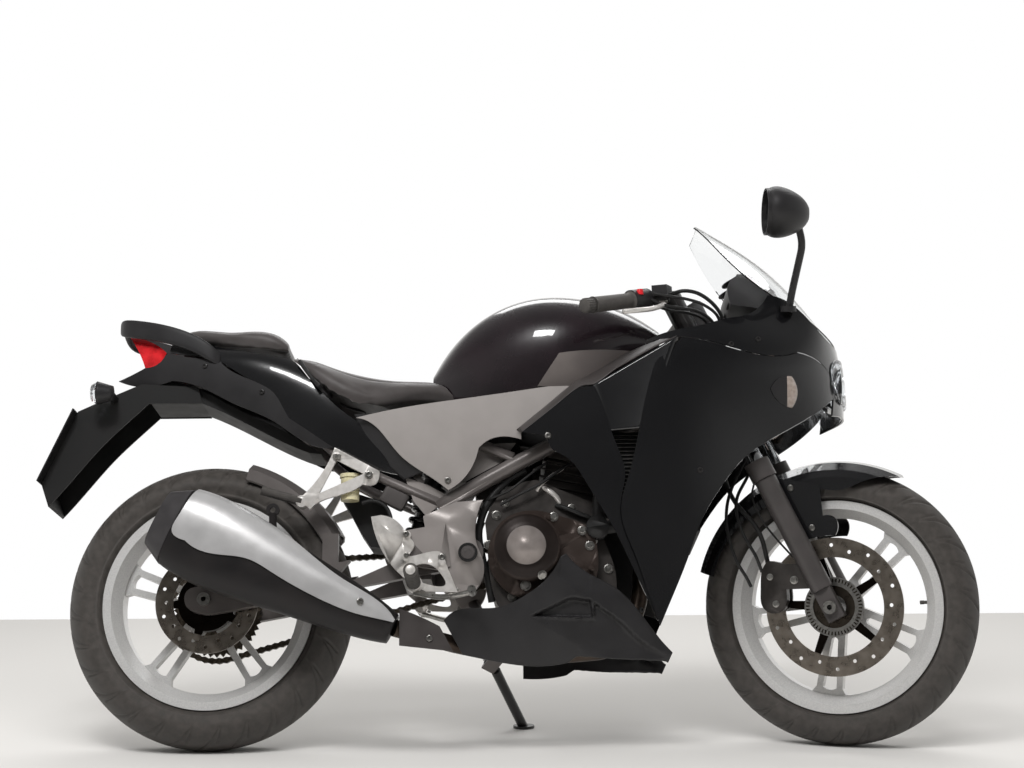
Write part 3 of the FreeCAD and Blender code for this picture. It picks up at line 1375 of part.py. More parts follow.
def sprocket_cover():
    x_high = chain_pocket_x
    z_low = drive_shaft_z - sprocket_cover_height / 2
    plate = block(x_high - sprocket_cover_length, x_high - seat_gap, sprocket_cover_outer - sprocket_cover_thickness,
                  sprocket_cover_outer, z_low, z_low + sprocket_cover_height)
    ends = [e for e in plate.Edges if abs(e.tangentAt(e.FirstParameter).y) > 0.5 and e.CenterOfMass.x < chain_pocket_x
            - sprocket_cover_length / 2]
    return plate.makeFillet(sprocket_cover_height / 3, ends)


def coolant_parts():
    pump = washer(V(pump_x, 0, pump_z), pump_radius, 0, -case_half_width - pump_depth, -case_half_width - seat_gap)
    hoses = [tube(hose_route, hose_radius), tube(lower_hose_route, hose_radius)]
    return [joined(hoses + [pump])]


def radiator():
    """A finned core between two side tanks."""
    x_high = radiator_x + radiator_thickness
    z_high = radiator_z + radiator_height
    core = block(radiator_x, x_high, -radiator_half_width, radiator_half_width, radiator_z, z_high)
    fin_slots = int(radiator_height / radiator_fin_pitch) - 1
    for k in range(fin_slots):
        z = radiator_z + radiator_fin_pitch * (k + 1)
        core = core.cut(block(x_high - radiator_fin_depth, x_high, -radiator_half_width + radiator_tank,
                              radiator_half_width - radiator_tank, z, z + radiator_fin_pitch / 2))
    return core


def exhaust_pipe():
    """The header pipe from the head's front, under the engine, to the muffler."""
    return largest(tube(pipe_route, pipe_radius).cut(cylinder_head().fuse(muffler_body())))


def muffler_sections(inset):
    """Closed rings along the muffler's slanted line, front to rear."""
    front = V(muffler_front_x, -muffler_side, muffler_front_z)
    line = V(muffler_rear_x - muffler_front_x, 0, muffler_rear_z - muffler_front_z)
    across = V(line.z, 0, -line.x)
    across.normalize()
    rings = []
    for at, tall, wide in zip(muffler_station_shares, muffler_height_shares, muffler_width_shares):
        centre = front + line * at
        half_height = muffler_half_height * tall - inset
        half_width = muffler_half_width * wide - inset
        right = [centre + across * (half_height * s[1]) - side_axis * (half_width * s[0]) for s in muffler_section_shares]
        left = [centre + across * (half_height * s[1]) + side_axis * (half_width * s[0])
                for s in reversed(muffler_section_shares[1:-1])]
        spline = Part.BSplineCurve()
        spline.interpolate(right + left, PeriodicFlag=True)
        rings.append(Part.Wire([spline.toShape()]))
    return rings


def muffler_line():
    front = V(muffler_front_x, -muffler_side, muffler_front_z)
    rear = V(muffler_rear_x, -muffler_side, muffler_rear_z)
    return front, rear, (rear - front).normalize()


def muffler_body():
    whole = lofted(muffler_sections(0.0))
    front, rear, line = muffler_line()
    whole = whole.cut(rod(rear - line * outlet_depth, rear + line * overrun, outlet_radius))
    hole = washer(V(muffler_lug_x, 0, muffler_lug_z), bolt_radius, 0, -muffler_side - overrun,
                  -muffler_side + overrun)
    return joined([whole, muffler_lug().cut(hole)])


def muffler_lug():
    """The hanger on top of the muffler."""
    front, rear, line = muffler_line()
    half = muffler_lug_thickness / 2
    lug = washer(V(muffler_lug_x, 0, muffler_lug_z), muffler_lug_radius, 0, -muffler_side - half, -muffler_side + half)
    web = rod(V(muffler_lug_x, -muffler_side, muffler_lug_z - muffler_lug_radius / 2),
              front + (rear - front) * 0.55, muffler_lug_thickness)
    return lug.fuse(web)


def muffler_end():
    """The rear cap: a slice of the muffler's own form with the outlet through it."""
    front, rear, line = muffler_line()
    across = V(line.z, 0, -line.x)
    rings = muffler_sections(-muffler_cap_inset)[-1:]
    ring = rings[0]
    back = ring.copy()
    back.translate(line * muffler_cap_length)
    centre = rear + line * muffler_cap_length
    back.scale(0.72, centre)
    ring.translate(line * seat_gap)
    cap = lofted([ring, back])
    hole = rod(rear - line * overrun, rear + line * (muffler_cap_length + overrun), outlet_radius)
    return cap.cut(hole)


def muffler_cover():
    """The bright heat shield: the muffler's skin a little larger, cut to its outline."""
    outer = lofted(muffler_sections(-muffler_cover_wall - seat_gap))
    inner = lofted(muffler_sections(-seat_gap))
    points = spread(muffler_cover_shares, muffler_cover_x, muffler_cover_z, muffler_cover_length,
                    muffler_cover_height)
    shell = outer.cut(inner.fuse(muffler_lug()))
    return shell.common(prism(points, -muffler_side - reach, -muffler_side))


def link_cover():
    points = spread(link_cover_shares, link_cover_x, link_cover_z, link_cover_length, link_cover_height)
    return prism(points, -link_cover_outer, -link_cover_outer + link_cover_thickness)


# Tank, seats and tail

def tank_hull(inset=0.0):
    return body_of_stations(tank_rear_x, tank_length, tank_low_z, tank_height, tank_half_width, tank_station_shares,
                            tank_width_shares, tank_top_shares, tank_bottom_shares, tank_section_shares, inset)


def fuel_tank():
    tank = tank_hull()
    seat = Part.makeCylinder(cap_ring_radius, reach, V(cap_x, 0, cap_seat_z()), up_axis)
    ring = Part.makeCylinder(cap_ring_radius - cap_gap, cap_ring_height, V(cap_x, 0, cap_seat_z() - cap_ring_height / 2),
                             up_axis)
    mouth = Part.makeCylinder(cap_radius + cap_gap, cap_sink + cap_ring_height, V(cap_x, 0, cap_seat_z() - cap_sink),
                              up_axis)
    return joined([tank.cut(seat), ring]).cut(mouth)


def cap_seat_z():
    """The flat round the filler, a little below the tank's crown."""
    return tank_low_z + tank_height * max(tank_top_shares) - cap_ring_height * 1.6


def filler_cap():
    low = cap_seat_z() - cap_sink * 0.6
    top = cap_seat_z() + cap_ring_height / 2 + cap_gap
    plug = Part.makeCone(cap_radius - cap_taper, cap_radius, top - low, V(cap_x, 0, low), up_axis)
    lid = Part.makeCylinder(cap_radius + cap_lip, cap_lid, V(cap_x, 0, top), up_axis)
    hinge = cap_hinge_place()
    knuckle = washer(hinge, cap_hinge_radius, 0, -cap_hinge_half_length, cap_hinge_half_length)
    arm = block(cap_x, hinge.x, -cap_hinge_half_length / 2, cap_hinge_half_length / 2, top, top + cap_lid)
    return joined([plug, lid, knuckle, arm])


def cap_hinge_place():
    return V(cap_x + cap_hinge_reach, 0, cap_seat_z() + cap_ring_height / 2 + cap_gap + cap_hinge_radius)


def tank_covers():
    """Thin covers that follow the tank's flanks."""
    points = spread(tank_cover_shares, tank_cover_x, tank_cover_z, tank_cover_length, tank_cover_height)
    layer = tank_hull(-tank_cover_stand).cut(tank_hull(-seat_gap))
    return layer.common(prism(points, -reach, reach))


def rider_seat():
    """The rider's seat, its nose shaped to the tank and its back to the pillion seat."""
    seat = body_of_stations(seat_x, seat_length, seat_z, seat_height, seat_half_width, seat_station_shares,
                            seat_width_shares, seat_top_shares, seat_bottom_shares, seat_section_shares)
    tank = tank_hull(-seat_gap)
    behind = tank.copy()
    behind.translate(V(-2 * seat_gap, 0, 0))
    pillion = pillion_hull(-seat_gap)
    ahead = pillion.copy()
    ahead.translate(V(2 * seat_gap, 0, 0))
    return largest(seat.cut(tank.fuse(behind)).cut(pillion.fuse([ahead, tail_hull(-seat_gap)])))


def pillion_hull(inset=0.0):
    return body_of_stations(pillion_x, pillion_length, pillion_z, pillion_height, pillion_half_width,
                            pillion_station_shares, pillion_width_shares, pillion_top_shares, pillion_bottom_shares,
                            seat_section_shares, inset)


def pillion_seat():
    """The passenger's pad, shaped below to the tail it rests on."""
    return largest(pillion_hull().cut(tail_hull(-seat_gap)))


def tail_hull(inset=0.0):
    return body_of_stations(tail_x, tail_length, tail_z, tail_height, tail_half_width, tail_station_shares,
                            tail_width_shares, tail_top_shares, tail_bottom_shares, tail_section_shares, inset)


def tail_shell():
    """The hollow tail with room for the grab rail's feet."""
    return tail_hull().cut(tail_hull(panel_wall)).cut(tube(rail_route, rail_radius + seat_gap))


def tail_piece(shares):
    points = spread(shares, tail_x, tail_z, tail_length, tail_height)
    return prism(points, -reach, reach)


def tail_light():
    return tail_hull().common(tail_piece(tail_light_shares))


def under_tray():
    points = spread(under_tray_shares, tail_x, tail_z, tail_length, tail_height)
    return prism(points, -under_tray_half_width, under_tray_half_width)


def grab_rail():
    return tube(rail_route, rail_radius)


def rear_mudguard():
    """A channel open to the wheel that carries the plate and the lamps."""
    points = spread(mudguard_shares, mudguard_x, mudguard_z, mudguard_length, mudguard_height)
    outer = prism(points, -mudguard_half_width, mudguard_half_width)
    inner = prism(points, -mudguard_half_width + mudguard_wall, mudguard_half_width - mudguard_wall)
    inner.translate(V(mudguard_wall * 2, 0, -mudguard_wall * 1.5))
    return outer.cut(inner)


def clear_of(shape, other, room):
    """The shape with some room left all round another piece."""
    for way in (V(room, 0, 0), V(0, room, 0), V(0, 0, room)):
        for turn in (-1, 1):
            copy = other.copy()
            copy.translate(way * turn)
            shape = shape.cut(copy)
    return shape


def tail_lower(tail):
    """The dull lower tail, notched where the mudguard's walls and the tray pass through it."""
    lower = tail.common(tail_piece(tail_lower_shares).fuse(tail_piece(tail_top_cover_shares)))
    lower = lower.cut(tail_piece(tail_cowl_shares).fuse(tail_piece(tail_light_shares)))
    return clear_of(clear_of(lower, rear_mudguard(), mudguard_room), under_tray(), mudguard_room)


def plate_line():
    points = spread(mudguard_shares, mudguard_x, mudguard_z, mudguard_length, mudguard_height)
    low, high = points[8], points[9]
    foot = V(low[0], 0, low[1])
    line = V(high[0] - low[0], 0, high[1] - low[1])
    line.normalize()
    return foot, line, V(-line.z, 0, line.x)


def number_plate():
    foot, line, out = plate_line()
    plate = block(0, plate_thickness, -plate_half_width, plate_half_width, 0, plate_height)
    plate.rotate(V(0, 0, 0), side_axis, math.degrees(math.atan2(line.x, line.z)))
    plate.translate(foot + out * (plate_gap + plate_thickness))
    return plate


def rear_blinker():
    """A stalk lamp: stem, housing and its lens, right side."""
    root = V(rear_lamp_x + rear_lamp_radius, -mudguard_half_width - seat_gap, rear_lamp_z)
    end = V(rear_lamp_x + rear_lamp_radius, -rear_lamp_reach, rear_lamp_z)
    stem = rod(root, end, rear_lamp_stem)
    back = V(rear_lamp_x, -rear_lamp_reach, rear_lamp_z)
    housing = Part.makeCone(rear_lamp_radius, rear_lamp_radius * 0.6, rear_lamp_length, back, V(1, 0, 0))
    lens = Part.makeCone(rear_lamp_radius * 0.97, rear_lamp_radius * 0.7, lamp_lens, back - V(seat_gap, 0, 0),
                         V(-1, 0, 0))
    return joined([stem, housing]), lens


# Fairing

def fairing_ring(level, inset):
    z = fairing_z + fairing_height * fairing_level_shares[level]
    widths = fairing_width_shares[level]
    right = [V(fairing_x + fairing_length * at, -(fairing_half_width * wide - inset), z)
             for at, wide in zip(fairing_station_shares, widths)]
    nose = V(fairing_x + fairing_length * fairing_nose_shares[level] - inset, 0, z)
    left = [V(p.x, -p.y, p.z) for p in reversed(right)]
    return Part.Wire([curve(right + [nose] + left), curve([left[-1], right[0]])])


def fairing_hull(inset):
    return lofted([fairing_ring(level, inset) for level in range(len(fairing_level_shares))])


def fairing_prism(shares, y_low, y_high):
    return prism(spread(shares, fairing_x, fairing_z, fairing_length, fairing_height), y_low, y_high)


def headlight():
    """The lamp with its housing rim, which lies behind the cowls."""
    lens = fairing_hull(-lamp_bulge).cut(fairing_hull(lamp_depth)).common(fairing_prism(lamp_shares, -reach, reach))
    layer = fairing_hull(panel_wall + seat_gap).cut(fairing_hull(2 * panel_wall + seat_gap))
    rim = layer.common(fairing_prism(lamp_rim_shares, -reach, reach))
    return joined([lens, rim])


def skin_peg(skin, x, z, innermost):
    """A mounting peg behind a curved cover, from its face in to the piece that carries it."""
    peg = washer(V(x, 0, z), peg_boss_radius, 0, -reach, -innermost - seat_gap)
    return peg.common(solid_of(skin.extrude(V(0, reach, 0))))


def scoop():
    skin = sheet(scoop_x, scoop_length, scoop_z, scoop_height, scoop_side, scoop_side_shares)
    cover = panel(spread(scoop_shares, scoop_x, scoop_z, scoop_length, scoop_height), skin, panel_wall, reach)
    return joined([cover, skin_peg(skin, scoop_peg_x, scoop_peg_z, spar_side + spar_radius - panel_wall)])


def belly_pan():
    skin = sheet(belly_x, belly_length, belly_z, belly_height, belly_side, belly_side_shares)
    right = panel(spread(belly_shares, belly_x, belly_z, belly_length, belly_height), skin, panel_wall, reach)
    right = joined([right, skin_peg(skin, belly_peg_x, belly_peg_z, case_half_width)])
    left = right.mirror(V(0, 0, 0), side_axis)
    room = block(belly_x - overrun, belly_stand_x, 0, reach, 0, belly_z + belly_height)
    return Part.makeCompound([right, left.cut(room)])


def side_panel():
    skin = sheet(panel_x, panel_length, panel_z, panel_height, panel_side, panel_side_shares)
    cover = panel(spread(panel_shares, panel_x, panel_z, panel_length, panel_height), skin, panel_wall, reach)
    return joined([cover, skin_peg(skin, panel_peg_x, panel_peg_z, rail_side + seat_rail_radius)])


def windscreen():
    places = []
    for front_x, front_z, side_x, side_z, half in screen_rows:
        places.append([V(front_x - (front_x - side_x) * s * s, half * s, front_z + (side_z - front_z) * s * s)
                       for s in screen_row_shares])
    surface = Part.BSplineSurface()
    surface.interpolate(places)
    face = surface.toShape()
    pane = solid_of(face.extrude(V(-screen_wall * 0.7, 0, -screen_wall * 0.7)))
    rim = fairing_hull(-seat_gap).cut(fairing_hull(panel_wall + seat_gap))
    return largest(pane.cut(rim.common(fairing_prism(upper_cowl_shares, -reach, reach))))


def dash():
    points = spread(dash_shares, dash_x, dash_z, dash_length, dash_height)
    return prism(points, -dash_half_width, dash_half_width)


def mirror_ring(at, size):
    centre = V(mirror_x + mirror_depth * at, -mirror_side, mirror_z - mirror_rise * at)
    ellipse = Part.Ellipse(V(0, 0, 0), mirror_half_width * size, mirror_half_height * size)
    edge = ellipse.toShape()
    edge.rotate(V(0, 0, 0), V(1, 1, 1), 120)
    edge.translate(centre)
    return Part.Wire([edge])


def mirror_head():
    rings = [mirror_ring(at, size) for at, size in zip(mirror_station_shares, mirror_size_shares)]
    head = lofted(rings)
    pocket = lofted([mirror_ring(-0.01, mirror_pane_share), mirror_ring(mirror_pane / mirror_depth, mirror_pane_share)])
    return head.cut(pocket)


def mirror_glass():
    share = mirror_pane_share - seat_gap / mirror_half_height
    return lofted([mirror_ring(0.0, share), mirror_ring((mirror_pane - seat_gap) / mirror_depth, share)])


def mirror_stalk():
    start = V(*stalk_route[0])
    foot = rod(start, start + V(0, -mirror_foot_length * 0.3, mirror_foot_length), mirror_foot_radius)
    return largest(joined([tube(stalk_route, stalk_radius), foot, mirror_head()]).cut(fairing_hull(-seat_gap)))


def blinker_prism():
    points = spread(blinker_shares, blinker_x, blinker_z, blinker_length, blinker_height)
    return prism(points, -reach, reach)


def front_blinkers():
    """The lamps let into the side cowls."""
    return fairing_hull(-lamp_bulge / 3).cut(fairing_hull(blinker_depth)).common(blinker_prism())


def cowls(shell):
    """The side cowls and the upper cowl, parted by a narrow gap and open for their lamps."""
    lamp = fairing_prism(lamp_shares, -reach, reach)
    sides = fairing_prism(side_cowl_shares, -reach, reach)
    raised = sides.copy()
    raised.translate(V(0, 0, panel_gap))
    upper = fairing_prism(upper_cowl_shares, -reach, reach)
    upper_cowl = shell.common(upper).cut(sides.fuse(raised)).cut(lamp)
    side_cowls = shell.common(sides).cut(lamp.fuse(blinker_prism()))
    return side_cowls, upper_cowl


# Foot controls, stand and small chassis pieces

def step_box(shares):
    return spread(shares, step_plate_x, step_plate_z, step_plate_length, step_plate_height)


def rider_step():
    """The rider's step bracket with its bolts, heel plate and folding peg; right side."""
    outer = step_plate_inner + step_plate_thickness
    plate = prism(step_box(step_plate_shares), -outer, -step_plate_inner)
    plate = plate.cut(prism(step_box(step_window_shares), -outer - overrun, 0))
    pieces = [plate]
    for x, z in step_box(step_bolt_shares):
        pieces.append(washer(V(x, 0, z), step_bolt_radius, 0, -outer - step_bolt_height, -step_plate_inner))
    root = V(peg_x, -outer, peg_z)
    tip = V(peg_x, -peg_outer, peg_z + peg_rise)
    line = (tip - root).normalize()
    pieces.append(rod(root + side_axis * step_plate_thickness, root + line * peg_root_length, peg_root_radius))
    pieces.append(rod(root, tip, peg_radius))
    heel = prism(step_box(heel_plate_shares), -outer - heel_plate_thickness, -outer)
    return joined(pieces + [heel])


def foot_lever():
    """A foot lever from its pivot at the peg forward to its pad; right side."""
    outer = step_plate_inner + step_plate_thickness
    root = V(peg_x, -outer, peg_z - peg_root_radius)
    bend = V(peg_x + (pedal_tip_x - peg_x) * 0.45, -outer - (pedal_side - outer) * 0.35, pedal_z)
    turn = V(peg_x + (pedal_tip_x - peg_x) * 0.78, -pedal_side + pedal_radius, pedal_z)
    tip = V(pedal_tip_x, -pedal_side, pedal_z + pedal_radius)
    bar = tube([tuple(root), tuple(bend), tuple(turn), tuple(tip)], pedal_radius)
    pad = washer(V(pedal_tip_x, -pedal_side, pedal_z + pedal_radius), pedal_radius * 1.5, 0, -pedal_pad_length,
                 pedal_radius)
    return largest(joined([bar, pad]).cut(rider_step()))


def pillion_box(shares):
    return spread(shares, pillion_plate_x, pillion_plate_z, pillion_plate_length, pillion_plate_height)


def pillion_step():
    """The passenger's triangular bracket with its folded peg; right side."""
    low = pillion_plate_inner + seat_gap
    outer = low + pillion_plate_thickness
    plate = prism(pillion_box(pillion_plate_shares), -outer, -low)
    plate = plate.cut(prism(pillion_box(pillion_window_shares), -outer - overrun, 0))
    pieces = [plate]
    for x, z in pillion_box(pillion_bolt_shares):
        pieces.append(washer(V(x, 0, z), step_bolt_radius, 0, -outer - step_bolt_height, -low))
    plates = joined(pieces).cut(tail_hull(-seat_gap))
    pieces = [largest(plates)]
    root = V(pillion_peg_x, -outer, pillion_peg_z)
    back = V(-pillion_peg_length, 0, pillion_peg_length * 0.3)
    pieces.append(washer(root, peg_root_radius * 0.8, 0, -pillion_peg_radius * 2, pillion_plate_thickness))
    start = root - side_axis * pillion_peg_radius * 1.2
    pieces.append(rod(start, start + back, pillion_peg_radius))
    return joined(pieces)


def brake_pot():
    centre = V(brake_pot_x, -brake_pot_side, brake_pot_z - brake_pot_height / 2)
    pot = Part.makeCylinder(brake_pot_length / 2, brake_pot_height, centre, up_axis)
    lid = Part.makeCylinder(brake_pot_length * 0.56, brake_pot_height * 0.16, centre + up_axis * brake_pot_height, up_axis)
    return joined([pot, lid])


def rear_caliper():
    """The rear caliper over the disc, on a lug that rests on the swingarm."""
    low_y = -arm_side + arm_half_thickness + seat_gap
    body = block(rear_caliper_x, rear_caliper_x + rear_caliper_length, low_y, -rear_disc_side + rear_caliper_inner,
                 rear_caliper_z, rear_caliper_z + rear_caliper_height)
    edges = [e for e in body.Edges if abs(e.tangentAt(e.FirstParameter).y) > 0.5]
    body = body.makeFillet(rear_caliper_height / 4, edges)
    return body.cut(disc_slot(rear_hub, rear_disc_side, rear_disc_radius, rear_disc_inner_radius))


def hugger():
    """The small rear fender ahead of the wheel, on the swingarm."""
    outer = rear_tyre_radius + hugger_gap + hugger_wall
    crown = [(outer, 0), (outer - hugger_gap * 0.4, hugger_half_width * 0.6), (outer - hugger_gap * 1.6, hugger_half_width),
             (outer - hugger_skirt, hugger_half_width)]
    inside = [(r - hugger_wall, y - (hugger_wall if y else 0)) for r, y in crown]
    right = [(r, -y) for r, y in reversed(crown[1:])]
    right_inside = [(r, -y) for r, y in reversed(inside[1:])]
    corners = [V(r, y, 0) for r, y in right + crown + list(reversed(right_inside + inside))]
    face = Part.Face(Part.makePolygon(corners + corners[:1]))
    face.rotate(V(0, 0, 0), side_axis, -hugger_front_deg)
    shell = face.revolve(V(0, 0, 0), side_axis, hugger_front_deg - hugger_rear_deg)
    shell.translate(rear_hub)
    foot = block(hugger_foot_x, hugger_foot_x + hugger_foot_length, -arm_side + arm_half_thickness / 2,
                 -hugger_half_width + hugger_wall / 2, hugger_foot_low_z, hugger_foot_low_z + hugger_foot_height)
    return joined([solid_of(shell), foot])


def stand_frame():
    """The side stand's pivot place, hinge line, leg line and the line into its bracket."""
    pivot = V(*stand_pivot)
    leg = (V(*stand_foot) - pivot).normalize()
    folded = V(*stand_folded).normalize()
    hinge = leg.cross(folded).normalize()
    inward = (leg + folded).normalize() * -1
    return pivot, hinge, leg, inward


def stand_bracket():
    """The fork that carries the side stand, on an arm from the frame's left plate."""
    pivot, hinge, leg, inward = stand_frame()
    side = hinge.cross(inward)
    half = stand_head_thickness / 2 + stand_ear_gap
    outside = half + stand_ear_thickness
    depth = stand_head_radius + stand_ear_gap
    ears = Part.makeBox(stand_ear_half_width + depth + stand_web, 2 * stand_ear_half_width, 2 * outside,
                        V(-stand_ear_half_width, -stand_ear_half_width, -outside))
    slot = Part.makeBox(stand_ear_half_width + depth + overrun, 2 * stand_ear_half_width + 2 * overrun, 2 * half,
                        V(-stand_ear_half_width - overrun, -stand_ear_half_width - overrun, -half))
    turn = FreeCAD.Placement(FreeCAD.Matrix(inward.x, side.x, hinge.x, pivot.x, inward.y, side.y, hinge.y,
                                                      pivot.y, inward.z, side.z, hinge.z, pivot.z, 0, 0, 0, 1))
    ears.Placement = turn
    slot.Placement = turn
    bolt = rod(pivot - hinge * outside, pivot + hinge * outside, stand_bolt_radius)
    root = pivot + inward * (depth + stand_web / 2)
    arm = rod(root, V(stand_arm_x, stand_arm_side, stand_arm_z), stand_arm_radius)
    return joined([joined([ears, arm]).cut(slot), bolt])


def side_stand(floor_place, floor_up):
    """The stand's leg with its eye and a foot that lies flat on the floor."""
    pivot, hinge, leg, inward = stand_frame()
    eye = rod(pivot - hinge * (stand_head_thickness / 2), pivot + hinge * (stand_head_thickness / 2), stand_head_radius)
    neck_length = stand_head_radius + stand_ear_half_width
    neck = rod(pivot + leg * (stand_head_radius * 0.8), pivot + leg * neck_length, stand_head_thickness * 0.4)
    bar = rod(pivot + leg * (neck_length * 0.8), floor_place, stand_radius)
    foot = Part.makeCylinder(stand_foot_radius, stand_foot_thickness, floor_place, floor_up)
    below = Part.makeCylinder(stand_foot_radius * 2, overrun, floor_place - floor_up * overrun, floor_up)
    whole = joined([eye, neck, bar, foot]).cut(below)
    return whole.cut(rod(pivot - hinge * stand_head_thickness, pivot + hinge * stand_head_thickness,
                         stand_bolt_radius + axle_clearance))


def hose():
    foot, top = brake_hose()
    middle = V((foot.x + top.x) / 2 - hose_bow, foot.y, (foot.z + top.z) / 2)
    line = tube([tuple(foot), tuple(foot + V(-hose_bow / 2, 0, (middle.z - foot.z) * 0.5)), tuple(middle),
                 tuple(top)], brake_hose_radius)
    return largest(line.cut(yokes()))


def airbox():
    box = block(airbox_x, airbox_x + airbox_length, -airbox_half_width, airbox_half_width, airbox_z,
                airbox_z + airbox_height)
    box = box.makeFillet(airbox_height / 5, box.Edges)
    return joined([box, tube(throttle_route, throttle_radius)]).cut(cylinder_head())


def dashboard():
    box = dash()
    face_centre = V(dash_x + dash_length * 0.06, 0, dash_z + dash_height * 0.55)
    normal = V(-1, 0, dash_dial_tilt_share)
    pieces = [box]
    for y in (-dial_side, dial_side):
        pieces.append(rod(face_centre + V(dial_depth, y, 0), face_centre + V(dial_depth, y, 0) + normal * dial_depth,
                          dial_radius))
    return joined(pieces)


# Assembly on the upright machine

def chassis_pieces():
    shell = fairing_hull(0.0).cut(fairing_hull(panel_wall))
    side_cowls, upper_cowl = cowls(shell)
    sides = fairing_prism(side_cowl_shares, -reach, reach)
    lowered = sides.copy()
    lowered.translate(V(0, 0, -seat_gap))
    lamp = fairing_prism(lamp_shares, -reach, reach)
    chin = shell.common(fairing_prism(chin_shares, -chin_half_width, chin_half_width))
    chin = chin.cut(sides.fuse([lowered, lamp]))
    tail = tail_shell()
    return {
        "frame": frame_main(),
        "swingarm": joined([swingarm(), hugger()]),
        "rear_axle": axle(rear_hub, arm_side + arm_half_thickness + seat_gap),
        "rear_shock": rear_shock(),
        "rear_caliper": rear_caliper(),
        "drive_chain": chain(),
        "crankcase": Part.makeCompound([crankcase(), front_sprocket()]),
        "cylinder": Part.makeCompound([cylinder(), cylinder_head()]),
        "engine_covers": Part.makeCompound([clutch_cover(), generator_cover(), sprocket_cover()]),
        "radiator": Part.makeCompound([radiator()] + coolant_parts()),
        "airbox": airbox(),
        "exhaust_pipe": exhaust_pipe(),
        "muffler": Part.makeCompound([muffler_body(), link_cover()]),
        "muffler_cap": muffler_end(),
        "muffler_cover": muffler_cover(),
        "fuel_tank": fuel_tank(),
        "tank_covers": tank_covers(),
        "rider_seat": rider_seat(),
        "pillion_seat": pillion_seat(),
        "tail_cowls": tail.common(tail_piece(tail_cowl_shares)),
        "tail_lower": tail_lower(tail),
        "tail_light": tail_light(),
        "grab_rail": grab_rail(),
        "rear_mudguard": Part.makeCompound([rear_mudguard(), under_tray()]),
        "number_plate": number_plate(),
        "rear_indicators": Part.makeCompound([mirrored(piece) for piece in rear_blinker()]),
        "side_panels": mirrored(side_panel()),
        "side_cowls": side_cowls,
        "upper_cowl": upper_cowl,
        "headlight": headlight(),
        "air_scoops": Part.makeCompound([mirrored(scoop()), chin]),
        "belly_pan": belly_pan(),
        "windscreen": windscreen(),
        "instrument_panel": dashboard(),
        "mirrors": mirrored(mirror_stalk()),
        "mirror_glass": mirrored(mirror_glass()),
        "front_indicators": front_blinkers(),
        "rider_steps": mirrored(rider_step()),
        "foot_levers": mirrored(foot_lever()),
        "pillion_steps": mirrored(pillion_step()),
        "brake_fluid_pot": brake_pot(),
    }


def steering_pieces():
    return {
        "front_axle": axle(front_hub, fork_side + axle_lug_half_depth + seat_gap),
        "fork_tubes": fork_pair(stanchion),
        "fork_sliders": fork_pair(slider),
        "fork_yokes": yokes(),
        "handlebars": Part.makeCompound([mirrored(handlebar()), mirrored(grip()), mirrored(bar_end())]),
        "bar_controls": Part.makeCompound([mirrored(switch_box()), mirrored(lever()), brake_master()]),
        "front_fender": joined([front_fender()] + fender_stays()),
        "front_brake": Part.makeCompound([front_caliper(), hose()]),
    }


def front_wheel_pieces():
    return {
        "front_tyre": tyre(front_tyre_height, front_tyre_half_width, front_rim_half_width, front_hub),
        "front_rim": rim(front_rim_half_width, front_hub_half_width, front_hub, front_spoke_deg),
        "front_disc": disc(front_disc_radius, front_disc_inner_radius, front_disc_side, front_hub, front_arm_deg,
                           front_hub_half_width),
    }


def rear_wheel_pieces():
    tip = pulley_radius(rear_teeth) - tooth_gap
    return {
        "rear_tyre": tyre(rear_tyre_height, rear_tyre_half_width, rear_rim_half_width, rear_hub),
        "rear_rim": rim(rear_rim_half_width, rear_hub_half_width, rear_hub, rear_spoke_deg),
        "rear_disc": disc(rear_disc_radius, rear_disc_inner_radius, rear_disc_side, rear_hub, rear_arm_deg,
                          rear_hub_half_width),
        "rear_sprocket": rear_sprocket(tip),
    }


# Placement: turn the steering, lean on the stand, set both tyres on the floor

def tyre_low(place, centre, height, half_width):
    """The lowest point of a tyre after its placement."""
    middle = place.multVec(centre)
    tilt = place.Rotation.multVec(side_axis).z
    lows = []
    for high, wide in tyre_section_shares:
        drop = (bead_radius + high * height) * math.sqrt(1 - tilt ** 2)
        lows.append(middle.z - drop - abs(wide * half_width * tilt))
    return min(lows)


def placements(pitch_deg):
    """Where the chassis and the steering go for a small pitch about the side-to-side axis."""
    lean = FreeCAD.Placement(V(0, 0, 0), FreeCAD.Rotation(V(1, 0, 0), -lean_deg))
    pitch = FreeCAD.Placement(V(0, 0, 0), FreeCAD.Rotation(side_axis, pitch_deg))
    steer = FreeCAD.Placement(V(0, 0, 0), FreeCAD.Rotation(steer_line, -steer_deg), steer_foot)
    chassis = pitch.multiply(lean)
    return chassis, chassis.multiply(steer)


def lows(pitch_deg):
    chassis, steering = placements(pitch_deg)
    return (tyre_low(chassis, rear_hub, rear_tyre_height, rear_tyre_half_width),
            tyre_low(steering, front_hub, front_tyre_height, front_tyre_half_width))


def level_pitch():
    """The pitch that brings both tyres to one level."""
    before, now = 0.0, 1.0
    for step in range(6):
        gap_before = lows(before)[1] - lows(before)[0]
        gap_now = lows(now)[1] - lows(now)[0]
        if gap_now == gap_before:
            break
        before, now = now, now - gap_now * (now - before) / (gap_now - gap_before)
    return now


def moved(shape, place):
    done = shape.copy()
    done.transformShape(place.toMatrix(), True)
    return done


def corner_places(shapes):
    places = [p for shape in shapes for p in shape.tessellate(bounds_tolerance)[0]]
    return (V(min(p.x for p in places), min(p.y for p in places), min(p.z for p in places)),
            V(max(p.x for p in places), max(p.y for p in places), max(p.z for p in places)))


pitch_deg = level_pitch()
chassis_place, steering_place = placements(pitch_deg)
lift = FreeCAD.Placement(V(0, 0, -lows(pitch_deg)[0]), FreeCAD.Rotation())
chassis_place = lift.multiply(chassis_place)
steering_place = lift.multiply(steering_place)

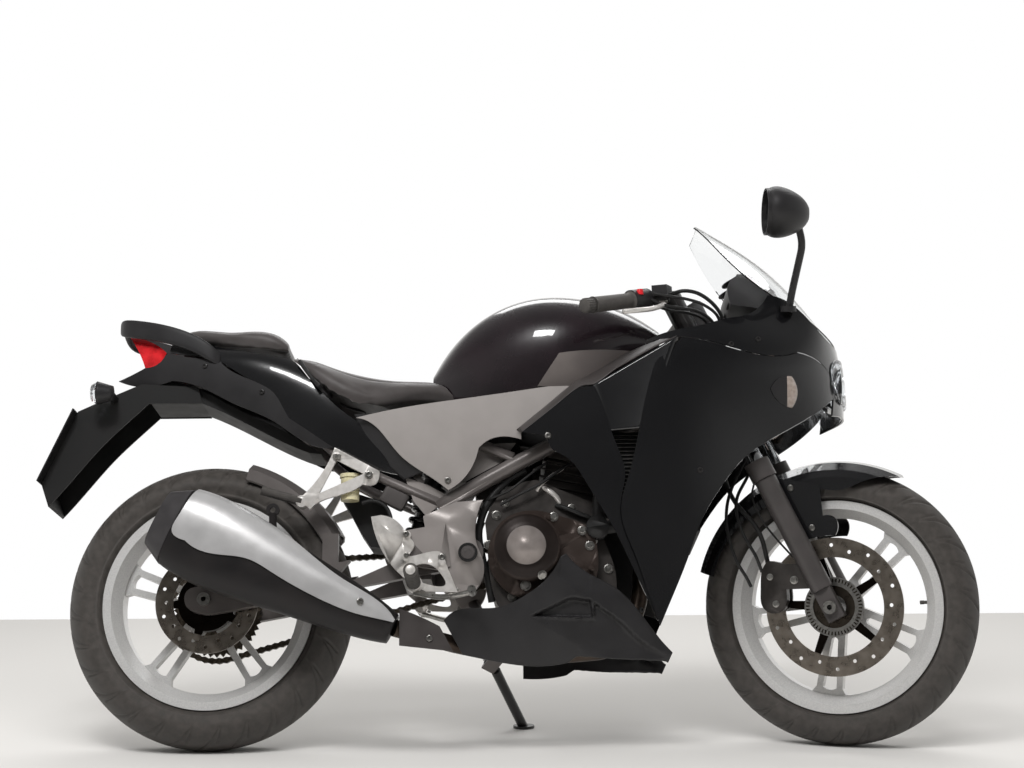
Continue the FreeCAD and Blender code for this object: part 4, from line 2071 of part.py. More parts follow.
foot_on_floor = chassis_place.multVec(V(*stand_foot))
foot_on_floor.z = 0
floor_place = chassis_place.inverse().multVec(foot_on_floor)
floor_up = chassis_place.inverse().Rotation.multVec(up_axis)

pieces = {}
for body_place, body in ((chassis_place, chassis_pieces()), (steering_place, steering_pieces()),
                         (steering_place, front_wheel_pieces()), (chassis_place, rear_wheel_pieces()),
                         (chassis_place, {"side_stand": side_stand(floor_place, floor_up)}),
                         (chassis_place, {"filler_cap": filler_cap()})):
    for name, shape in body.items():
        pieces[name] = moved(shape, body_place)

low_corner, high_corner = corner_places(pieces.values())
shift = V(-(low_corner.x + high_corner.x) / 2, -(low_corner.y + high_corner.y) / 2, 0)
os.makedirs("parts", exist_ok=True)
for name, shape in pieces.items():
    shape.translate(shift)
    shape.exportStep("parts/" + name + ".step")
    print(name, "solids", len(shape.Solids), "valid", shape.isValid(), "volume_cm3", round(shape.Volume / 1000, 1))


def report(name, place, local, line):
    """Prints a place in metres and a direction for the joints and mounts."""
    where = (place.multVec(local) + shift) * 0.001
    axis = place.Rotation.multVec(line)
    print("PLACE", name, [round(v, 5) for v in where], [round(v, 6) for v in axis])


stand_hinge = stand_frame()[1]
report("rear_axle", chassis_place, rear_hub, side_axis)
report("front_axle", steering_place, front_hub, side_axis)
report("steering", chassis_place, fork_point(lower_yoke_at, 0, -fork_offset), steer_line)
report("side_stand", chassis_place, V(*stand_pivot), stand_hinge)
report("filler_cap", chassis_place, cap_hinge_place(), side_axis)
print("PITCH", round(pitch_deg, 4), "LIFT", round(-lows(pitch_deg)[0], 3), "SHIFT", [round(v, 3) for v in shift])
print("SIZE", [round(v, 2) for v in high_corner - low_corner])
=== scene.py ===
import json
import math

import bmesh
import bpy
import numpy as np
from mathutils import Matrix, Vector
from mathutils.bvhtree import BVHTree


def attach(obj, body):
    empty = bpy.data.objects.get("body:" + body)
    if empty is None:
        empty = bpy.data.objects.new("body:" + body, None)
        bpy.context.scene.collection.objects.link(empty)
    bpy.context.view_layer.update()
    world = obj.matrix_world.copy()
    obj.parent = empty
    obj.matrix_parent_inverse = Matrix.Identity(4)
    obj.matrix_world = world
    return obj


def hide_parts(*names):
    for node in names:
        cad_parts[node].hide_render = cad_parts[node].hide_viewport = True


# Sport motorcycle on its side stand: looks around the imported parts, in metres.
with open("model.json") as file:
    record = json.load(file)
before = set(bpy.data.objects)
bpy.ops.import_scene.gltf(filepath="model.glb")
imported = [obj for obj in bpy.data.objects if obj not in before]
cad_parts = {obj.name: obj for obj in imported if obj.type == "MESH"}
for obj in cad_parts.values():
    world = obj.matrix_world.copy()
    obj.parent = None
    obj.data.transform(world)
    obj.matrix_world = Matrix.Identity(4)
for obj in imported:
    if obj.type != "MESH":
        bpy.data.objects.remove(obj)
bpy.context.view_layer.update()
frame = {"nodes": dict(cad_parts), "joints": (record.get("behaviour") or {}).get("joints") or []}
nodes = frame["nodes"]
joints = {joint["name"]: joint for joint in frame["joints"]}
print("frame loaded:", len(nodes), "nodes")

# Upright machine, millimetres, to the leaning one in the row frame.
stance = {"leanDeg": 15.13, "steerDeg": -21.35, "rearHubMm": (0.0, 0.0, 309.0), "frontHubMm": (1367.0, 0.0, 297.0)}
bothSides = ((1, "right"), (-1, "left"))


def turnMatrix(axis, degrees):
    return np.array(Matrix.Rotation(math.radians(degrees), 3, Vector(axis)))


def unit(rows):
    # one vector or rows of them, at length one
    rows = np.asarray(rows, float)
    return rows / np.linalg.norm(rows, axis=-1, keepdims=True)


def chassisTransform():
    # lean about X, then the small pitch about Y that the rear axle's joint shows, then its place
    axis = joints["rear_axle_turn"]["axis"]
    pitch = math.degrees(math.asin(-axis[0] / math.sin(math.radians(stance["leanDeg"]))))
    turn = turnMatrix((0, 1, 0), pitch) @ turnMatrix((1, 0, 0), -stance["leanDeg"])
    return turn, np.array(joints["rear_axle_turn"]["pos_m"]) - turn @ np.array(stance["rearHubMm"]) / 1000


def steeringTransform():
    # the chassis place, then a turn about the steering axis
    turn, shift = chassisTransform()
    steer = turnMatrix(joints["steering_turn"]["axis"], stance["steerDeg"])
    pivot = np.array(joints["steering_turn"]["pos_m"])
    return steer @ turn, steer @ (shift - pivot) + pivot


places = {"chassis": chassisTransform(), "steering": steeringTransform()}
places.update(rear_wheel=places["chassis"], front_wheel=places["steering"], stand=places["chassis"],
              cap=places["chassis"])


def toRow(points, body):
    turn, shift = places[body]
    return np.asarray(points, float) / 1000 @ turn.T + shift


def fromRow(points, body):
    turn, shift = places[body]
    return (np.asarray(points, float) - shift) @ turn * 1000


def linked(name, data):
    made = bpy.data.objects.new(name, data)
    bpy.context.scene.collection.objects.link(made)
    return made


# Camera at the photograph's place, found from the wheels
shot = {"placeMm": (683.32, -4331.39, 805.85), "yawDeg": -0.3203, "pitchDeg": 0.3454, "rollDeg": -0.6241,
        "focalPx": 2026.16, "widthPx": 1024, "heightPx": 768, "sensorMm": 36.0, "farM": 100}


def addCamera():
    turn, shift = places["chassis"]
    level = turn @ turnMatrix((1, 0, 0), stance["leanDeg"])
    yaw, pitch, roll = (math.radians(shot[k]) for k in ("yawDeg", "pitchDeg", "rollDeg"))
    ahead = np.array([math.sin(yaw) * math.cos(pitch), math.cos(yaw) * math.cos(pitch), -math.sin(pitch)])
    right = np.array([math.cos(yaw), -math.sin(yaw), 0])
    up = np.cross(right, ahead)
    axes = np.array([math.cos(roll) * right + math.sin(roll) * up, math.cos(roll) * up - math.sin(roll) * right,
                     -ahead])
    data = bpy.data.cameras.new("camera")
    data.sensor_width = shot["sensorMm"]
    data.lens = shot["focalPx"] / shot["widthPx"] * shot["sensorMm"]
    data.clip_end = shot["farM"]
    camera = linked("camera", data)
    place = level @ (np.array(shot["placeMm"]) / 1000) + shift
    camera.matrix_world = Matrix.Translation(place) @ Matrix((level @ axes.T).tolist()).to_4x4()
    bpy.context.scene.camera = camera
    return camera


camera = addCamera()
bpy.context.view_layer.update()
cameraPlace = np.array(camera.matrix_world.translation)
cameraTurn = np.array(camera.matrix_world.to_3x3())


def pixelRay(u, v):
    # direction from the camera through a pixel of the picture
    return unit(cameraTurn @ np.array([u - shot["widthPx"] / 2, shot["heightPx"] / 2 - v, -shot["focalPx"]]))


# Studio: pale floor, white walls, soft lamps. A world row is a range read and the brightness it gives;
# a lamp is its place, aim, size, watts and whether gloss shows it.
studio = {"floor": "#cfcdca", "floorRough": 0.9, "floorHalf": 2.15, "air": "#fbfaf8",
          "sky": (-0.1, 0.9, 0.55, 0.92), "back": (-0.9, 0.3, 0.12, 1.0), "walls": (0.30, 0.62, 1.0, 0.28),
          "lamps": {"key_lamp": ((-0.4, -2.6, 3.6), (0, 0, 0.5), (3.6, 1.6), 150, False),
                    "glint_lamp": ((-0.9, -2.4, 3.4), (0, 0, 0.5), (0.8, 0.5), 32, True),
                    "rim_lamp": ((0.6, 2.6, 3.6), (0, 0, 0.6), (4.0, 1.2), 60, True)}}


def hexColour(code):
    # sRGB hex to linear light
    parts = [int(code[k:k + 2], 16) / 255 for k in (1, 3, 5)]
    return tuple(p / 12.92 if p <= 0.04045 else ((p + 0.055) / 1.055) ** 2.4 for p in parts) + (1.0,)


def addNode(tree, kind, reads=(), values=None, stops=(), **settings):
    # one node: its own settings, its sockets' values, the sockets that it reads, and a ramp's (place, colour) stops
    made = tree.nodes.new("ShaderNode" + kind)
    for name, value in settings.items():
        setattr(made, name, value)
    for name, value in (values or {}).items():
        made.inputs[name].default_value = value
    for name, source in reads:
        tree.links.new(source, made.inputs[name])
    if stops:
        ramp = made.color_ramp.elements
        while len(ramp) < len(stops):
            ramp.new(0.5)
        for element, (place, colour) in zip(ramp, stops):
            element.position, element.color = place, colour
    return made


def spans(row):
    return dict(zip(("From Min", "From Max", "To Min", "To Max"), row))


def addWorld():
    # brighter above, darker behind the camera; camera and glass see white, gloss sees walls under a dark ceiling
    world = bpy.data.worlds.new("studio")
    bpy.context.scene.world = world
    world.use_nodes = True
    tree = world.node_tree
    tree.nodes.clear()
    out = addNode(tree, "OutputWorld")
    way = addNode(tree, "TexCoord").outputs["Generated"]
    parts = addNode(tree, "SeparateXYZ", [("Vector", way)])
    sky = addNode(tree, "MapRange", [("Value", parts.outputs["Z"])], spans(studio["sky"]))
    back = addNode(tree, "MapRange", [("Value", parts.outputs["Y"])], spans(studio["back"]))
    path = addNode(tree, "LightPath")
    walls = addNode(tree, "MapRange", [("Value", parts.outputs["Z"])], spans(studio["walls"]))
    bright = addNode(tree, "MapRange", [("Value", path.outputs["Is Glossy Ray"]), ("To Min", sky.outputs[0]),
                                        ("To Max", walls.outputs[0])])
    level = addNode(tree, "Math", [(0, bright.outputs[0]), (1, back.outputs[0])], operation="MULTIPLY")
    soft = addNode(tree, "Background", [("Strength", level.outputs[0])], {"Color": hexColour(studio["air"])})
    white = addNode(tree, "Background", values={"Color": (1, 1, 1, 1), "Strength": 1.0})
    seen = addNode(tree, "Math", [(0, path.outputs["Is Camera Ray"]), (1, path.outputs["Is Transmission Ray"])],
                   operation="MAXIMUM")
    mix = addNode(tree, "MixShader", [("Fac", seen.outputs[0]), (1, soft.outputs[0]), (2, white.outputs[0])])
    tree.links.new(mix.outputs[0], out.inputs["Surface"])


def addLamp(name, place, target, size, watt, mirrored):
    data = bpy.data.lights.new(name, "AREA")
    data.shape = "RECTANGLE"
    data.size, data.size_y = size
    data.energy = watt
    lamp = linked(name, data)
    aim = Vector(target) - Vector(place)
    lamp.matrix_world = Matrix.Translation(place) @ aim.to_track_quat("-Z", "Y").to_matrix().to_4x4()
    lamp.visible_glossy = mirrored


def addFloor():
    half = studio["floorHalf"]
    mesh = bpy.data.meshes.new("floor")
    mesh.from_pydata([(-half, -half, 0), (half, -half, 0), (half, half, 0), (-half, half, 0)], [], [(0, 1, 2, 3)])
    floor = linked("floor", mesh)
    material = bpy.data.materials.new("studio_floor")
    material.use_nodes = True
    paint = material.node_tree.nodes["Principled BSDF"].inputs
    paint["Base Color"].default_value = hexColour(studio["floor"])
    paint["Roughness"].default_value = studio["floorRough"]
    mesh.materials.append(material)


addWorld()
addFloor()
for name, lamp in studio["lamps"].items():
    addLamp(name, *lamp)
bpy.context.scene.view_settings.view_transform = "Standard"
print("camera, floor and lamps")

# Materials: two colours, patch size, least and most roughness, and more. Bump and cells are (size, depth),
# rings (radius, colour) steps about an axle; sizes in millimetres, patterns on Object coordinates. Real grain of
# mouldings, castings and rubber is under half a millimetre: it is drawn about 1 mm coarse, so that it shows.
finishes = {
    # urethane clear coat over black: deep, mirror-like, faint orange peel
    "black_lacquer": ("#08080a #0b0b0d", 150, (0.22, 0.26), {"coat": 1.0, "coatRough": 0.03, "bump": (5.0, 0.012)}),
    # the tank's lacquer has a trace of purple flake
    "tank_lacquer": ("#120b0f #190f14", 90, (0.24, 0.3), {"coat": 1.0, "coatRough": 0.025, "bump": (6.0, 0.01)}),
    # spark-eroded moulding texture: broad soft highlight, tiny grain
    "moulded_abs": ("#332f2e #3b3736", 60, (0.4, 0.5), {"bump": (1.0, 0.035)}),
    # side panels: a dark satin moulding drawn paler grey, part its own colour and part painted sheen
    "grey_abs_with_painted_sheen": ("#817c79 #86817e", 60, (0.36, 0.46), {"bump": (1.0, 0.035)}),
    "brown_moulded_abs": ("#5a5452 #625c59", 60, (0.38, 0.48), {"bump": (1.0, 0.035)}),
    "dark_moulded_abs": ("#1d1c1d #232223", 60, (0.44, 0.54), {"bump": (1.0, 0.035)}),
    # polypropylene: waxier and duller than the ABS round it
    "black_polypropylene": ("#101010 #171616", 40, (0.55, 0.66), {"bump": (1.4, 0.05)}),
    # powder coat: satin with a faint ripple
    "black_powder_coat": ("#1f1e1e #272525", 80, (0.3, 0.4), {"bump": (2.2, 0.03)}),
    "graphite_powder_coat": ("#5f5a58 #6a6563", 80, (0.3, 0.4), {"metal": 0.35, "bump": (2.2, 0.03)}),
    # the frame's graphite coat drawn paler for the pivot plates and gusset: a painted highlight, not a second coat
    "pale_powder_coat": ("#8b8582 #96908d", 80, (0.3, 0.4), {"metal": 0.35, "bump": (2.2, 0.03)}),
    "charcoal_powder_coat": ("#464342 #504c4b", 80, (0.32, 0.42), {"metal": 0.3, "bump": (2.2, 0.03)}),
    # die-cast aluminium under dark engine enamel: dull glints on a fine grain
    "engine_enamel": ("#3a3735 #474341", 30, (0.34, 0.46), {"metal": 0.55, "bump": (1.2, 0.05)}),
    # silver wheel enamel: fine aluminium flake under clear
    "silver_wheel_enamel": ("#c9c8c7 #d6d5d3", 3.0, (0.32, 0.38),
                            {"metal": 0.4, "coat": 0.4, "coatRough": 0.12, "bump": (2.0, 0.015)}),
    # bead-blasted, clear-anodised aluminium: even, pale and matt
    "anodised_aluminium": ("#c9c7c3 #d3d1cd", 12, (0.34, 0.42), {"metal": 0.7, "bump": (0.9, 0.02)}),
    # silver satin lacquer on pressed steel: a soft, wide highlight
    "satin_muffler_silver": ("#c6c5c5 #d0cfcf", 50, (0.3, 0.38),
                             {"metal": 0.6, "coat": 0.3, "coatRough": 0.2, "bump": (3.0, 0.01)}),
    # zinc plate on steel: pale grey with a broken, grainy gleam
    "zinc_steel": ("#9a9894 #b0aeaa", 6, (0.26, 0.4), {"metal": 1.0, "bump": (1.0, 0.02)}),
    # hard chrome on ground tube: a thin, clear mirror line
    "hard_chrome": ("#d6d8da #dcdee0", 20, (0.04, 0.08), {"metal": 1.0}),
    # ground stainless that heat has browned, darker at its carrier
    "front_disc_steel": ("#8f867c #a1988e", 18, (0.24, 0.36),
                         {"metal": 1.0, "bump": (0.7, 0.02), "rings": ("front_wheel", stance["frontHubMm"],
                          ((63, "#8d8a86"), (105, "#3a3634"), (300, "#ffffff")))}),
    "rear_disc_steel": ("#8f867c #a1988e", 18, (0.24, 0.36),
                        {"metal": 1.0, "bump": (0.7, 0.02), "rings": ("rear_wheel", stance["rearHubMm"],
                         ((71, "#3a3634"), (300, "#ffffff")))}),
    # clutch cover: worn lighter disc inside a dark ring
    "clutch_enamel": ("#8d8581 #9a928e", 25, (0.32, 0.42),
                      {"metal": 0.55, "bump": (1.2, 0.04), "rings": ("chassis", (686.0, 0.0, 410.0),
                       ((41.5, "#ffffff"), (68, "#4a4341"), (300, "#746b67")))}),
    # steel by its work: oiled links, a header pipe browned by heat
    "oiled_chain_steel": ("#4a443d #6a6258", 5, (0.3, 0.5), {"metal": 1.0, "bump": (0.8, 0.05)}),
    "heated_steel": ("#3b322c #544a42", 35, (0.36, 0.52), {"metal": 0.9, "bump": (1.5, 0.03)}),
    # heatproof paint: flat black with a slight metal gleam
    "heatproof_black": ("#1a1819 #211e1e", 60, (0.42, 0.55), {"metal": 0.3, "bump": (1.2, 0.03)}),
    # dark enamel on the end cap: even satin
    "muffler_cap_enamel": ("#3c3a3b #454344", 40, (0.38, 0.46), {"metal": 0.4, "bump": (1.2, 0.02)}),
    # natural rubber and carbon black: dusty, no clear highlight
    "tyre_rubber": ("#383532 #45413e", 14, (0.55, 0.7), {"bump": (1.6, 0.06)}),
    "grip_rubber": ("#413e3c #4a4744", 10, (0.6, 0.72), {"bump": (0.9, 0.05)}),
    "hose_rubber": ("#161616 #1e1d1d", 8, (0.4, 0.55), {"bump": (0.8, 0.03)}),
    # calendered vinyl with a leather grain
    "seat_vinyl": ("#3c3837 #464241", 45, (0.4, 0.5), {"cells": (1.8, 0.1), "sheen": 0.15}),
    # matt paint on fins: nearly black with a faint gleam
    "radiator_black": ("#141414 #1b1a1a", 8, (0.45, 0.6), {"metal": 0.3, "bump": (1.0, 0.04)}),
    # moulded prisms under a smooth outer face
    "red_lens": ("#b00d14 #e0242b", 24, (0.08, 0.12),
                 {"clear": 0.2, "coat": 1.0, "coatRough": 0.02, "cells": (12.0, 0.7)}),
    "indicator_lens": ("#bba99d #d6c8be", 7, (0.08, 0.12),
                       {"clear": 0.5, "coat": 1.0, "coatRough": 0.02, "cells": (7.0, 0.6)}),
    # plain clear plastics and mirrors: nothing but their reflections
    "clear_lens": ("#eef1f3 #f2f4f6", 40, (0.01, 0.03), {"clear": 0.96}),
    "cast_acrylic": ("#fcfdfd #fdfefe", 80, (0.0, 0.01), {"clear": 1.0}),
    "silvered_glass": ("#989da0 #9ca1a4", 60, (0.01, 0.02), {"metal": 1.0}),
    "reflector_chrome": ("#e4e5e6 #ecedee", 40, (0.05, 0.09), {"metal": 1.0}),
    # fluid pot: cloudy and yellowed
    "milky_polyethylene": ("#d9d0a4 #e2dab6", 12, (0.35, 0.45), {"clear": 0.25, "bump": (1.0, 0.03)}),
    # thick enamel on spring wire: a wet line along each coil
    "spring_black_enamel": ("#1c1a1a #242121", 20, (0.25, 0.32), {"coat": 0.6, "coatRough": 0.1}),
    # untreated casting: bright with a sandy grain
    "bare_cast_alloy": ("#d8d4cf #e2deda", 9, (0.3, 0.42), {"metal": 0.6, "bump": (0.8, 0.03)}),
    # small parts in coloured plastic or print: even and half matt
    "switch_red": ("#c01a22 #cc222a", 8, (0.3, 0.36), {}),
    "plate_white": ("#dad9d4 #e2e1dc", 50, (0.35, 0.45), {"bump": (2.0, 0.02)}),
    "dial_face": ("#101113 #16171a", 10, (0.4, 0.5), {}),
    "dial_white": ("#e6e6e4 #eeeeec", 10, (0.5, 0.6), {}),
}
sockets = {"metal": "Metallic", "coat": "Coat Weight", "coatRough": "Coat Roughness", "sheen": "Sheen Weight",
           "clear": "Transmission Weight"}
clearIor = 1.49
noise = {"patchDetail": 4.0, "bumpDetail": 2.0, "tones": (0.35, 0.65), "gloss": (0.3, 0.7), "stepEdge": 0.001}
materials = {}


def ringTone(tree, where, tone, body, hubMm, steps):
    # the tone is multiplied by a colour that steps with the distance from an axle
    axle = places[body][0] @ np.array([0.0, 1.0, 0.0])
    arm = addNode(tree, "VectorMath", [(0, where)], {1: toRow(hubMm, body).tolist()}, operation="SUBTRACT")
    turned = addNode(tree, "VectorMath", [(0, arm.outputs[0])], {1: axle.tolist()}, operation="CROSS_PRODUCT")
    far = addNode(tree, "VectorMath", [(0, turned.outputs[0])], operation="LENGTH")
    widest = steps[-1][0] / 1000
    share = addNode(tree, "MapRange", [("Value", far.outputs["Value"])], {"From Max": widest})
    stops, near, edge = [], 0.0, noise["stepEdge"]
    for radius, colour in steps:
        stops += [(near, hexColour(colour)), (radius / 1000 / widest - edge, hexColour(colour))]
        near = radius / 1000 / widest + edge
    stepped = addNode(tree, "ValToRGB", [("Fac", share.outputs[0])], stops=stops).outputs["Color"]
    mix = addNode(tree, "Mix", [(6, tone), (7, stepped)], {0: 1.0}, data_type="RGBA", blend_type="MULTIPLY")
    return mix.outputs[2]


def makeFinish(name):
    # a Principled surface; tone and gloss follow one noise of the finish's patch size, height a finer one
    colours, patchMm, rough, more = finishes[name]
    material = bpy.data.materials.new(name)
    material.use_nodes = True
    tree = material.node_tree
    tree.nodes.clear()
    out = addNode(tree, "OutputMaterial")
    values = {socket: more[key] for key, socket in sockets.items() if key in more}
    if "clear" in more:
        values["IOR"] = clearIor
    shader = addNode(tree, "BsdfPrincipled", values=values)
    where = addNode(tree, "TexCoord").outputs["Object"]
    patch = addNode(tree, "TexNoise", [("Vector", where)],
                    {"Scale": 1000 / patchMm, "Detail": noise["patchDetail"]}).outputs["Fac"]
    stops = [(place, hexColour(code)) for place, code in zip(noise["tones"], colours.split())]
    tone = addNode(tree, "ValToRGB", [("Fac", patch)], stops=stops).outputs["Color"]
    if "rings" in more:
        tone = ringTone(tree, where, tone, *more["rings"])
    tree.links.new(tone, shader.inputs["Base Color"])
    gloss = addNode(tree, "MapRange", [("Value", patch)], spans(noise["gloss"] + rough))
    tree.links.new(gloss.outputs[0], shader.inputs["Roughness"])
    height = None
    if "bump" in more:
        size, depth = more["bump"]
        height = addNode(tree, "TexNoise", [("Vector", where)],
                         {"Scale": 1000 / size, "Detail": noise["bumpDetail"]}).outputs["Fac"]
    if "cells" in more:
        size, depth = more["cells"]
        height = addNode(tree, "TexVoronoi", [("Vector", where)], {"Scale": 1000 / size},
                         feature="SMOOTH_F1").outputs["Distance"]
    if height is not None:
        bump = addNode(tree, "Bump", [("Height", height)], {"Strength": 1.0, "Distance": depth / 1000})
        tree.links.new(bump.outputs["Normal"], shader.inputs["Normal"])
    tree.links.new(shader.outputs[0], out.inputs["Surface"])
    return material


def finish(name):
    if name not in materials:
        materials[name] = makeFinish(name)
    return materials[name]


nodeFinishes = {
    "graphite_powder_coat": "frame swingarm", "zinc_steel": "rear_axle foot_levers front_axle",
    "spring_black_enamel": "rear_shock", "oiled_chain_steel": "drive_chain rear_sprocket",
    "engine_enamel": "rear_caliper crankcase cylinder engine_covers front_brake", "radiator_black": "radiator",
    "black_polypropylene": "airbox rear_mudguard number_plate", "heated_steel": "exhaust_pipe",
    "heatproof_black": "muffler", "muffler_cap_enamel": "muffler_cap", "satin_muffler_silver": "muffler_cover",
    "tank_lacquer": "fuel_tank", "brown_moulded_abs": "tank_covers", "seat_vinyl": "rider_seat pillion_seat",
    "black_lacquer": "tail_cowls side_cowls upper_cowl air_scoops front_fender",
    "dark_moulded_abs": "tail_lower grab_rail belly_pan instrument_panel mirrors bar_controls",
    "red_lens": "tail_light", "clear_lens": "rear_indicators headlight front_indicators",
    # the side panels' grey holds painted sheen as well as their own colour
    "grey_abs_with_painted_sheen": "side_panels", "cast_acrylic": "windscreen", "silvered_glass": "mirror_glass",
    "bare_cast_alloy": "rider_steps pillion_steps", "milky_polyethylene": "brake_fluid_pot",
    "hard_chrome": "fork_tubes", "charcoal_powder_coat": "fork_sliders",
    "black_powder_coat": "fork_yokes handlebars side_stand", "tyre_rubber": "front_tyre rear_tyre",
    "silver_wheel_enamel": "front_rim rear_rim", "front_disc_steel": "front_disc", "rear_disc_steel": "rear_disc",
    "anodised_aluminium": "filler_cap",
}
for finishName, names in nodeFinishes.items():
    for name in names.split():
        nodes[name].data.materials.clear()
        nodes[name].data.materials.append(finish(finishName))
print("finishes on", sum(len(names.split()) for names in nodeFinishes.values()), "nodes")

# Meshes from arrays
weldMm, sharpDeg, curveSteps = 0.001, 35, 400
tubeAside, turnAside = (0.3, 0.9, 0.31), (0.31, 0.22, 0.93)  # ways that no line or axis here runs


def readAll(items, key, width=3, kind=float):
    # one value of every item, in rows
    flat = np.empty(len(items) * width, kind)
    items.foreach_get(key, flat)
    return flat.reshape(-1, width)


def coordinates(mesh):
    return readAll(mesh.vertices, "co")


def moveTo(mesh, points):
    mesh.vertices.foreach_set("co", points.ravel())
    mesh.update()


def edited(mesh, change):
    # the mesh after one change to its editable form
    edit = bmesh.new()
    edit.from_mesh(mesh)
    change(edit)
    edit.to_mesh(mesh)
    edit.free()
    return mesh


def weld(edit, near):
    bmesh.ops.remove_doubles(edit, verts=edit.verts, dist=near)
    bmesh.ops.recalc_face_normals(edit, faces=edit.faces)


def shade(mesh, finishNames, sharp=None):
    # smooth all over, but for edges turned by more than the sharp angle
    mesh.materials.clear()
    for name in finishNames:
        mesh.materials.append(finish(name))
    mesh.polygons.foreach_set("use_smooth", np.ones(len(mesh.polygons), bool))
    if sharp:
        mesh.set_sharp_from_angle(angle=math.radians(sharp))


def fixTo(made, body, slot=None, stands=False):
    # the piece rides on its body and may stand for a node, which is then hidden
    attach(made, body)
    if stands:
        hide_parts(slot)
    return made


def addPiece(name, parts, finishName, body="chassis", slot=None, stands=False, welded=True, metres=False):
    # several (points, faces) as one mesh; points in upright millimetres, or in the row frame's metres
    mesh = bpy.data.meshes.new(name)
    points, faces, start = [], [], 0
    for p, f in parts:
        points.append(np.asarray(p, float) if metres else toRow(p, body))
        faces += [tuple(i + start for i in row) for row in (f if isinstance(f, list) else f.tolist())]
        start += len(p)
    mesh.from_pydata(np.vstack(points).tolist(), [], faces)
    if welded:
        edited(mesh, lambda edit: weld(edit, weldMm / 1000))
    shade(mesh, [finishName], sharpDeg if welded else None)
    return fixTo(linked(name, mesh), body, slot, stands)


def gridFaces(rows, columns, closeRows=False, closeColumns=False):
    # quads of a rows x columns grid whose points are numbered row by row
    r = np.arange(rows if closeRows else rows - 1)
    c = np.arange(columns if closeColumns else columns - 1)
    r, c = np.meshgrid(r, c, indexing="ij")
    down, along = (r + 1) % rows, (c + 1) % columns
    return np.stack([r * columns + c, down * columns + c, down * columns + along, r * columns + along],
                    -1).reshape(-1, 4)


def smoothLine(points, count):
    # Catmull-Rom curve through the points, at equal steps of its own length
    p = np.asarray(points, float)
    ends = np.vstack([2 * p[0] - p[1], p, 2 * p[-1] - p[-2]])
    t = np.linspace(0, len(p) - 1, curveSteps)
    k = np.minimum(t.astype(int), len(p) - 2)
    f = (t - k)[:, None]
    a, b, c, d = (ends[k + j] for j in range(4))
    line = 0.5 * (2 * b + (c - a) * f + (2 * a - 5 * b + 4 * c - d) * f ** 2 + (3 * b - a - 3 * c + d) * f ** 3)
    far = np.concatenate([[0], np.cumsum(np.linalg.norm(np.diff(line, axis=0), axis=1))])
    want = np.linspace(0, far[-1], count)
    return np.stack([np.interp(want, far, line[:, j]) for j in range(p.shape[1])], -1)


def between(first, second, grid):
    # straight rows from one smooth line to another, and each place's share of the way
    first, second = smoothLine(first, grid[0]), smoothLine(second, grid[0])
    t = np.linspace(0, 1, grid[1])[None, :, None]
    return first[:, None] * (1 - t) + second[:, None] * t, t


def cappedTube(line, rings, turned=False):
    # rings of points along a line, each end closed on the line's own end
    sides = rings.shape[1]
    count, k = len(line) * sides, np.arange(sides)
    after = (k + 1) % sides
    faces = gridFaces(len(line), sides, closeColumns=True)
    caps = np.vstack([np.stack([k * 0 + count, after, k], -1),
                      np.stack([k * 0 + count + 1, count - sides + k, count - sides + after], -1)])
    if turned:
        faces, caps = faces[:, ::-1], caps[:, [0, 2, 1]]
    return np.vstack([rings.reshape(-1, 3), line[0], line[-1]]), faces.tolist() + caps.tolist()


def circle(count):
    angle = np.linspace(0, 2 * math.pi, count, endpoint=False)
    return angle, np.cos(angle), np.sin(angle)


def tubeMesh(line, radii, sides=12):
    # a circle carried along the line without twist
    line = np.asarray(line, float)
    ahead = unit(np.gradient(line, axis=0))
    across = [unit(np.cross(ahead[0], tubeAside))]
    for k in range(1, len(line)):
        across.append(unit(across[-1] - ahead[k] * (across[-1] @ ahead[k])))
    across = np.array(across)
    over = np.cross(ahead, across)
    _, c, s = circle(sides)
    radii = np.broadcast_to(np.asarray(radii, float), (len(line),))[:, None, None]
    ring = c[None, :, None] * across[:, None] + s[None, :, None] * over[:, None]
    return cappedTube(line, line[:, None] + ring * radii, turned=True)


def revolveMesh(profile, centre, axis, sides=32, ripple=None):
    # profile rows of (radius, height) turned about the axis through centre; ripple gives a radius factor by angle
    axis = unit(axis)
    first = unit(np.cross(axis, turnAside))
    second = np.cross(axis, first)
    angle, c, s = circle(sides)
    profile = np.asarray(profile, float)
    factor = np.ones((len(profile), sides)) if ripple is None else ripple(len(profile), angle)
    points = (np.asarray(centre, float) + profile[:, 1, None, None] * axis
              + (profile[:, :1] * factor)[..., None] * (c[:, None] * first + s[:, None] * second))
    faces = gridFaces(len(profile), sides, closeColumns=True)[:, ::-1].tolist()
    if not np.allclose(profile[0], profile[-1]):
        ends = [row for row in (0, len(profile) - 1) if profile[row, 0] > 0]
        faces += [tuple(row * sides + k for k in range(sides)[::1 if row else -1]) for row in ends]
    return points.reshape(-1, 3), faces


# Tyres with a tread. Groove: where it starts, its ends as shares of the way to the shoulder, sweep, width, side
tyres = {
    "front": {"hub": stance["frontHubMm"], "height": 78.8, "half": 55.0, "bead": 34.7, "pitches": 30},
    "rear": {"hub": stance["rearHubMm"], "height": 90.8, "half": 70.0, "bead": 50.7, "pitches": 28},
}
tread = {"beadRadius": 218.2, "flange": 9.8, "clearance": 0.5, "lipMm": (6, 5),
         "section": ((1.0, 0.0), (0.930, 0.42), (0.76, 0.80), (0.52, 1.0), (0.22, 0.94)), "shoulder": 0.985,
         "steps": 200, "columns": (24, 9), "around": 1320, "radius": 300, "grooveMm": 3.0, "depthMm": 3.6,
         "fade": (0.06, 0.08), "taper": (1.15, 0.4), "wall": 1.6, "bend": 0.8,
         "grooves": ((0.00, 0.06, 0.97, 1.35, 1.0, 1), (0.55, 0.34, 0.90, 0.75, 0.85, 1),
                     (0.50, 0.06, 0.97, 1.35, 1.0, -1), (0.05, 0.34, 0.90, 0.75, 0.85, -1))}


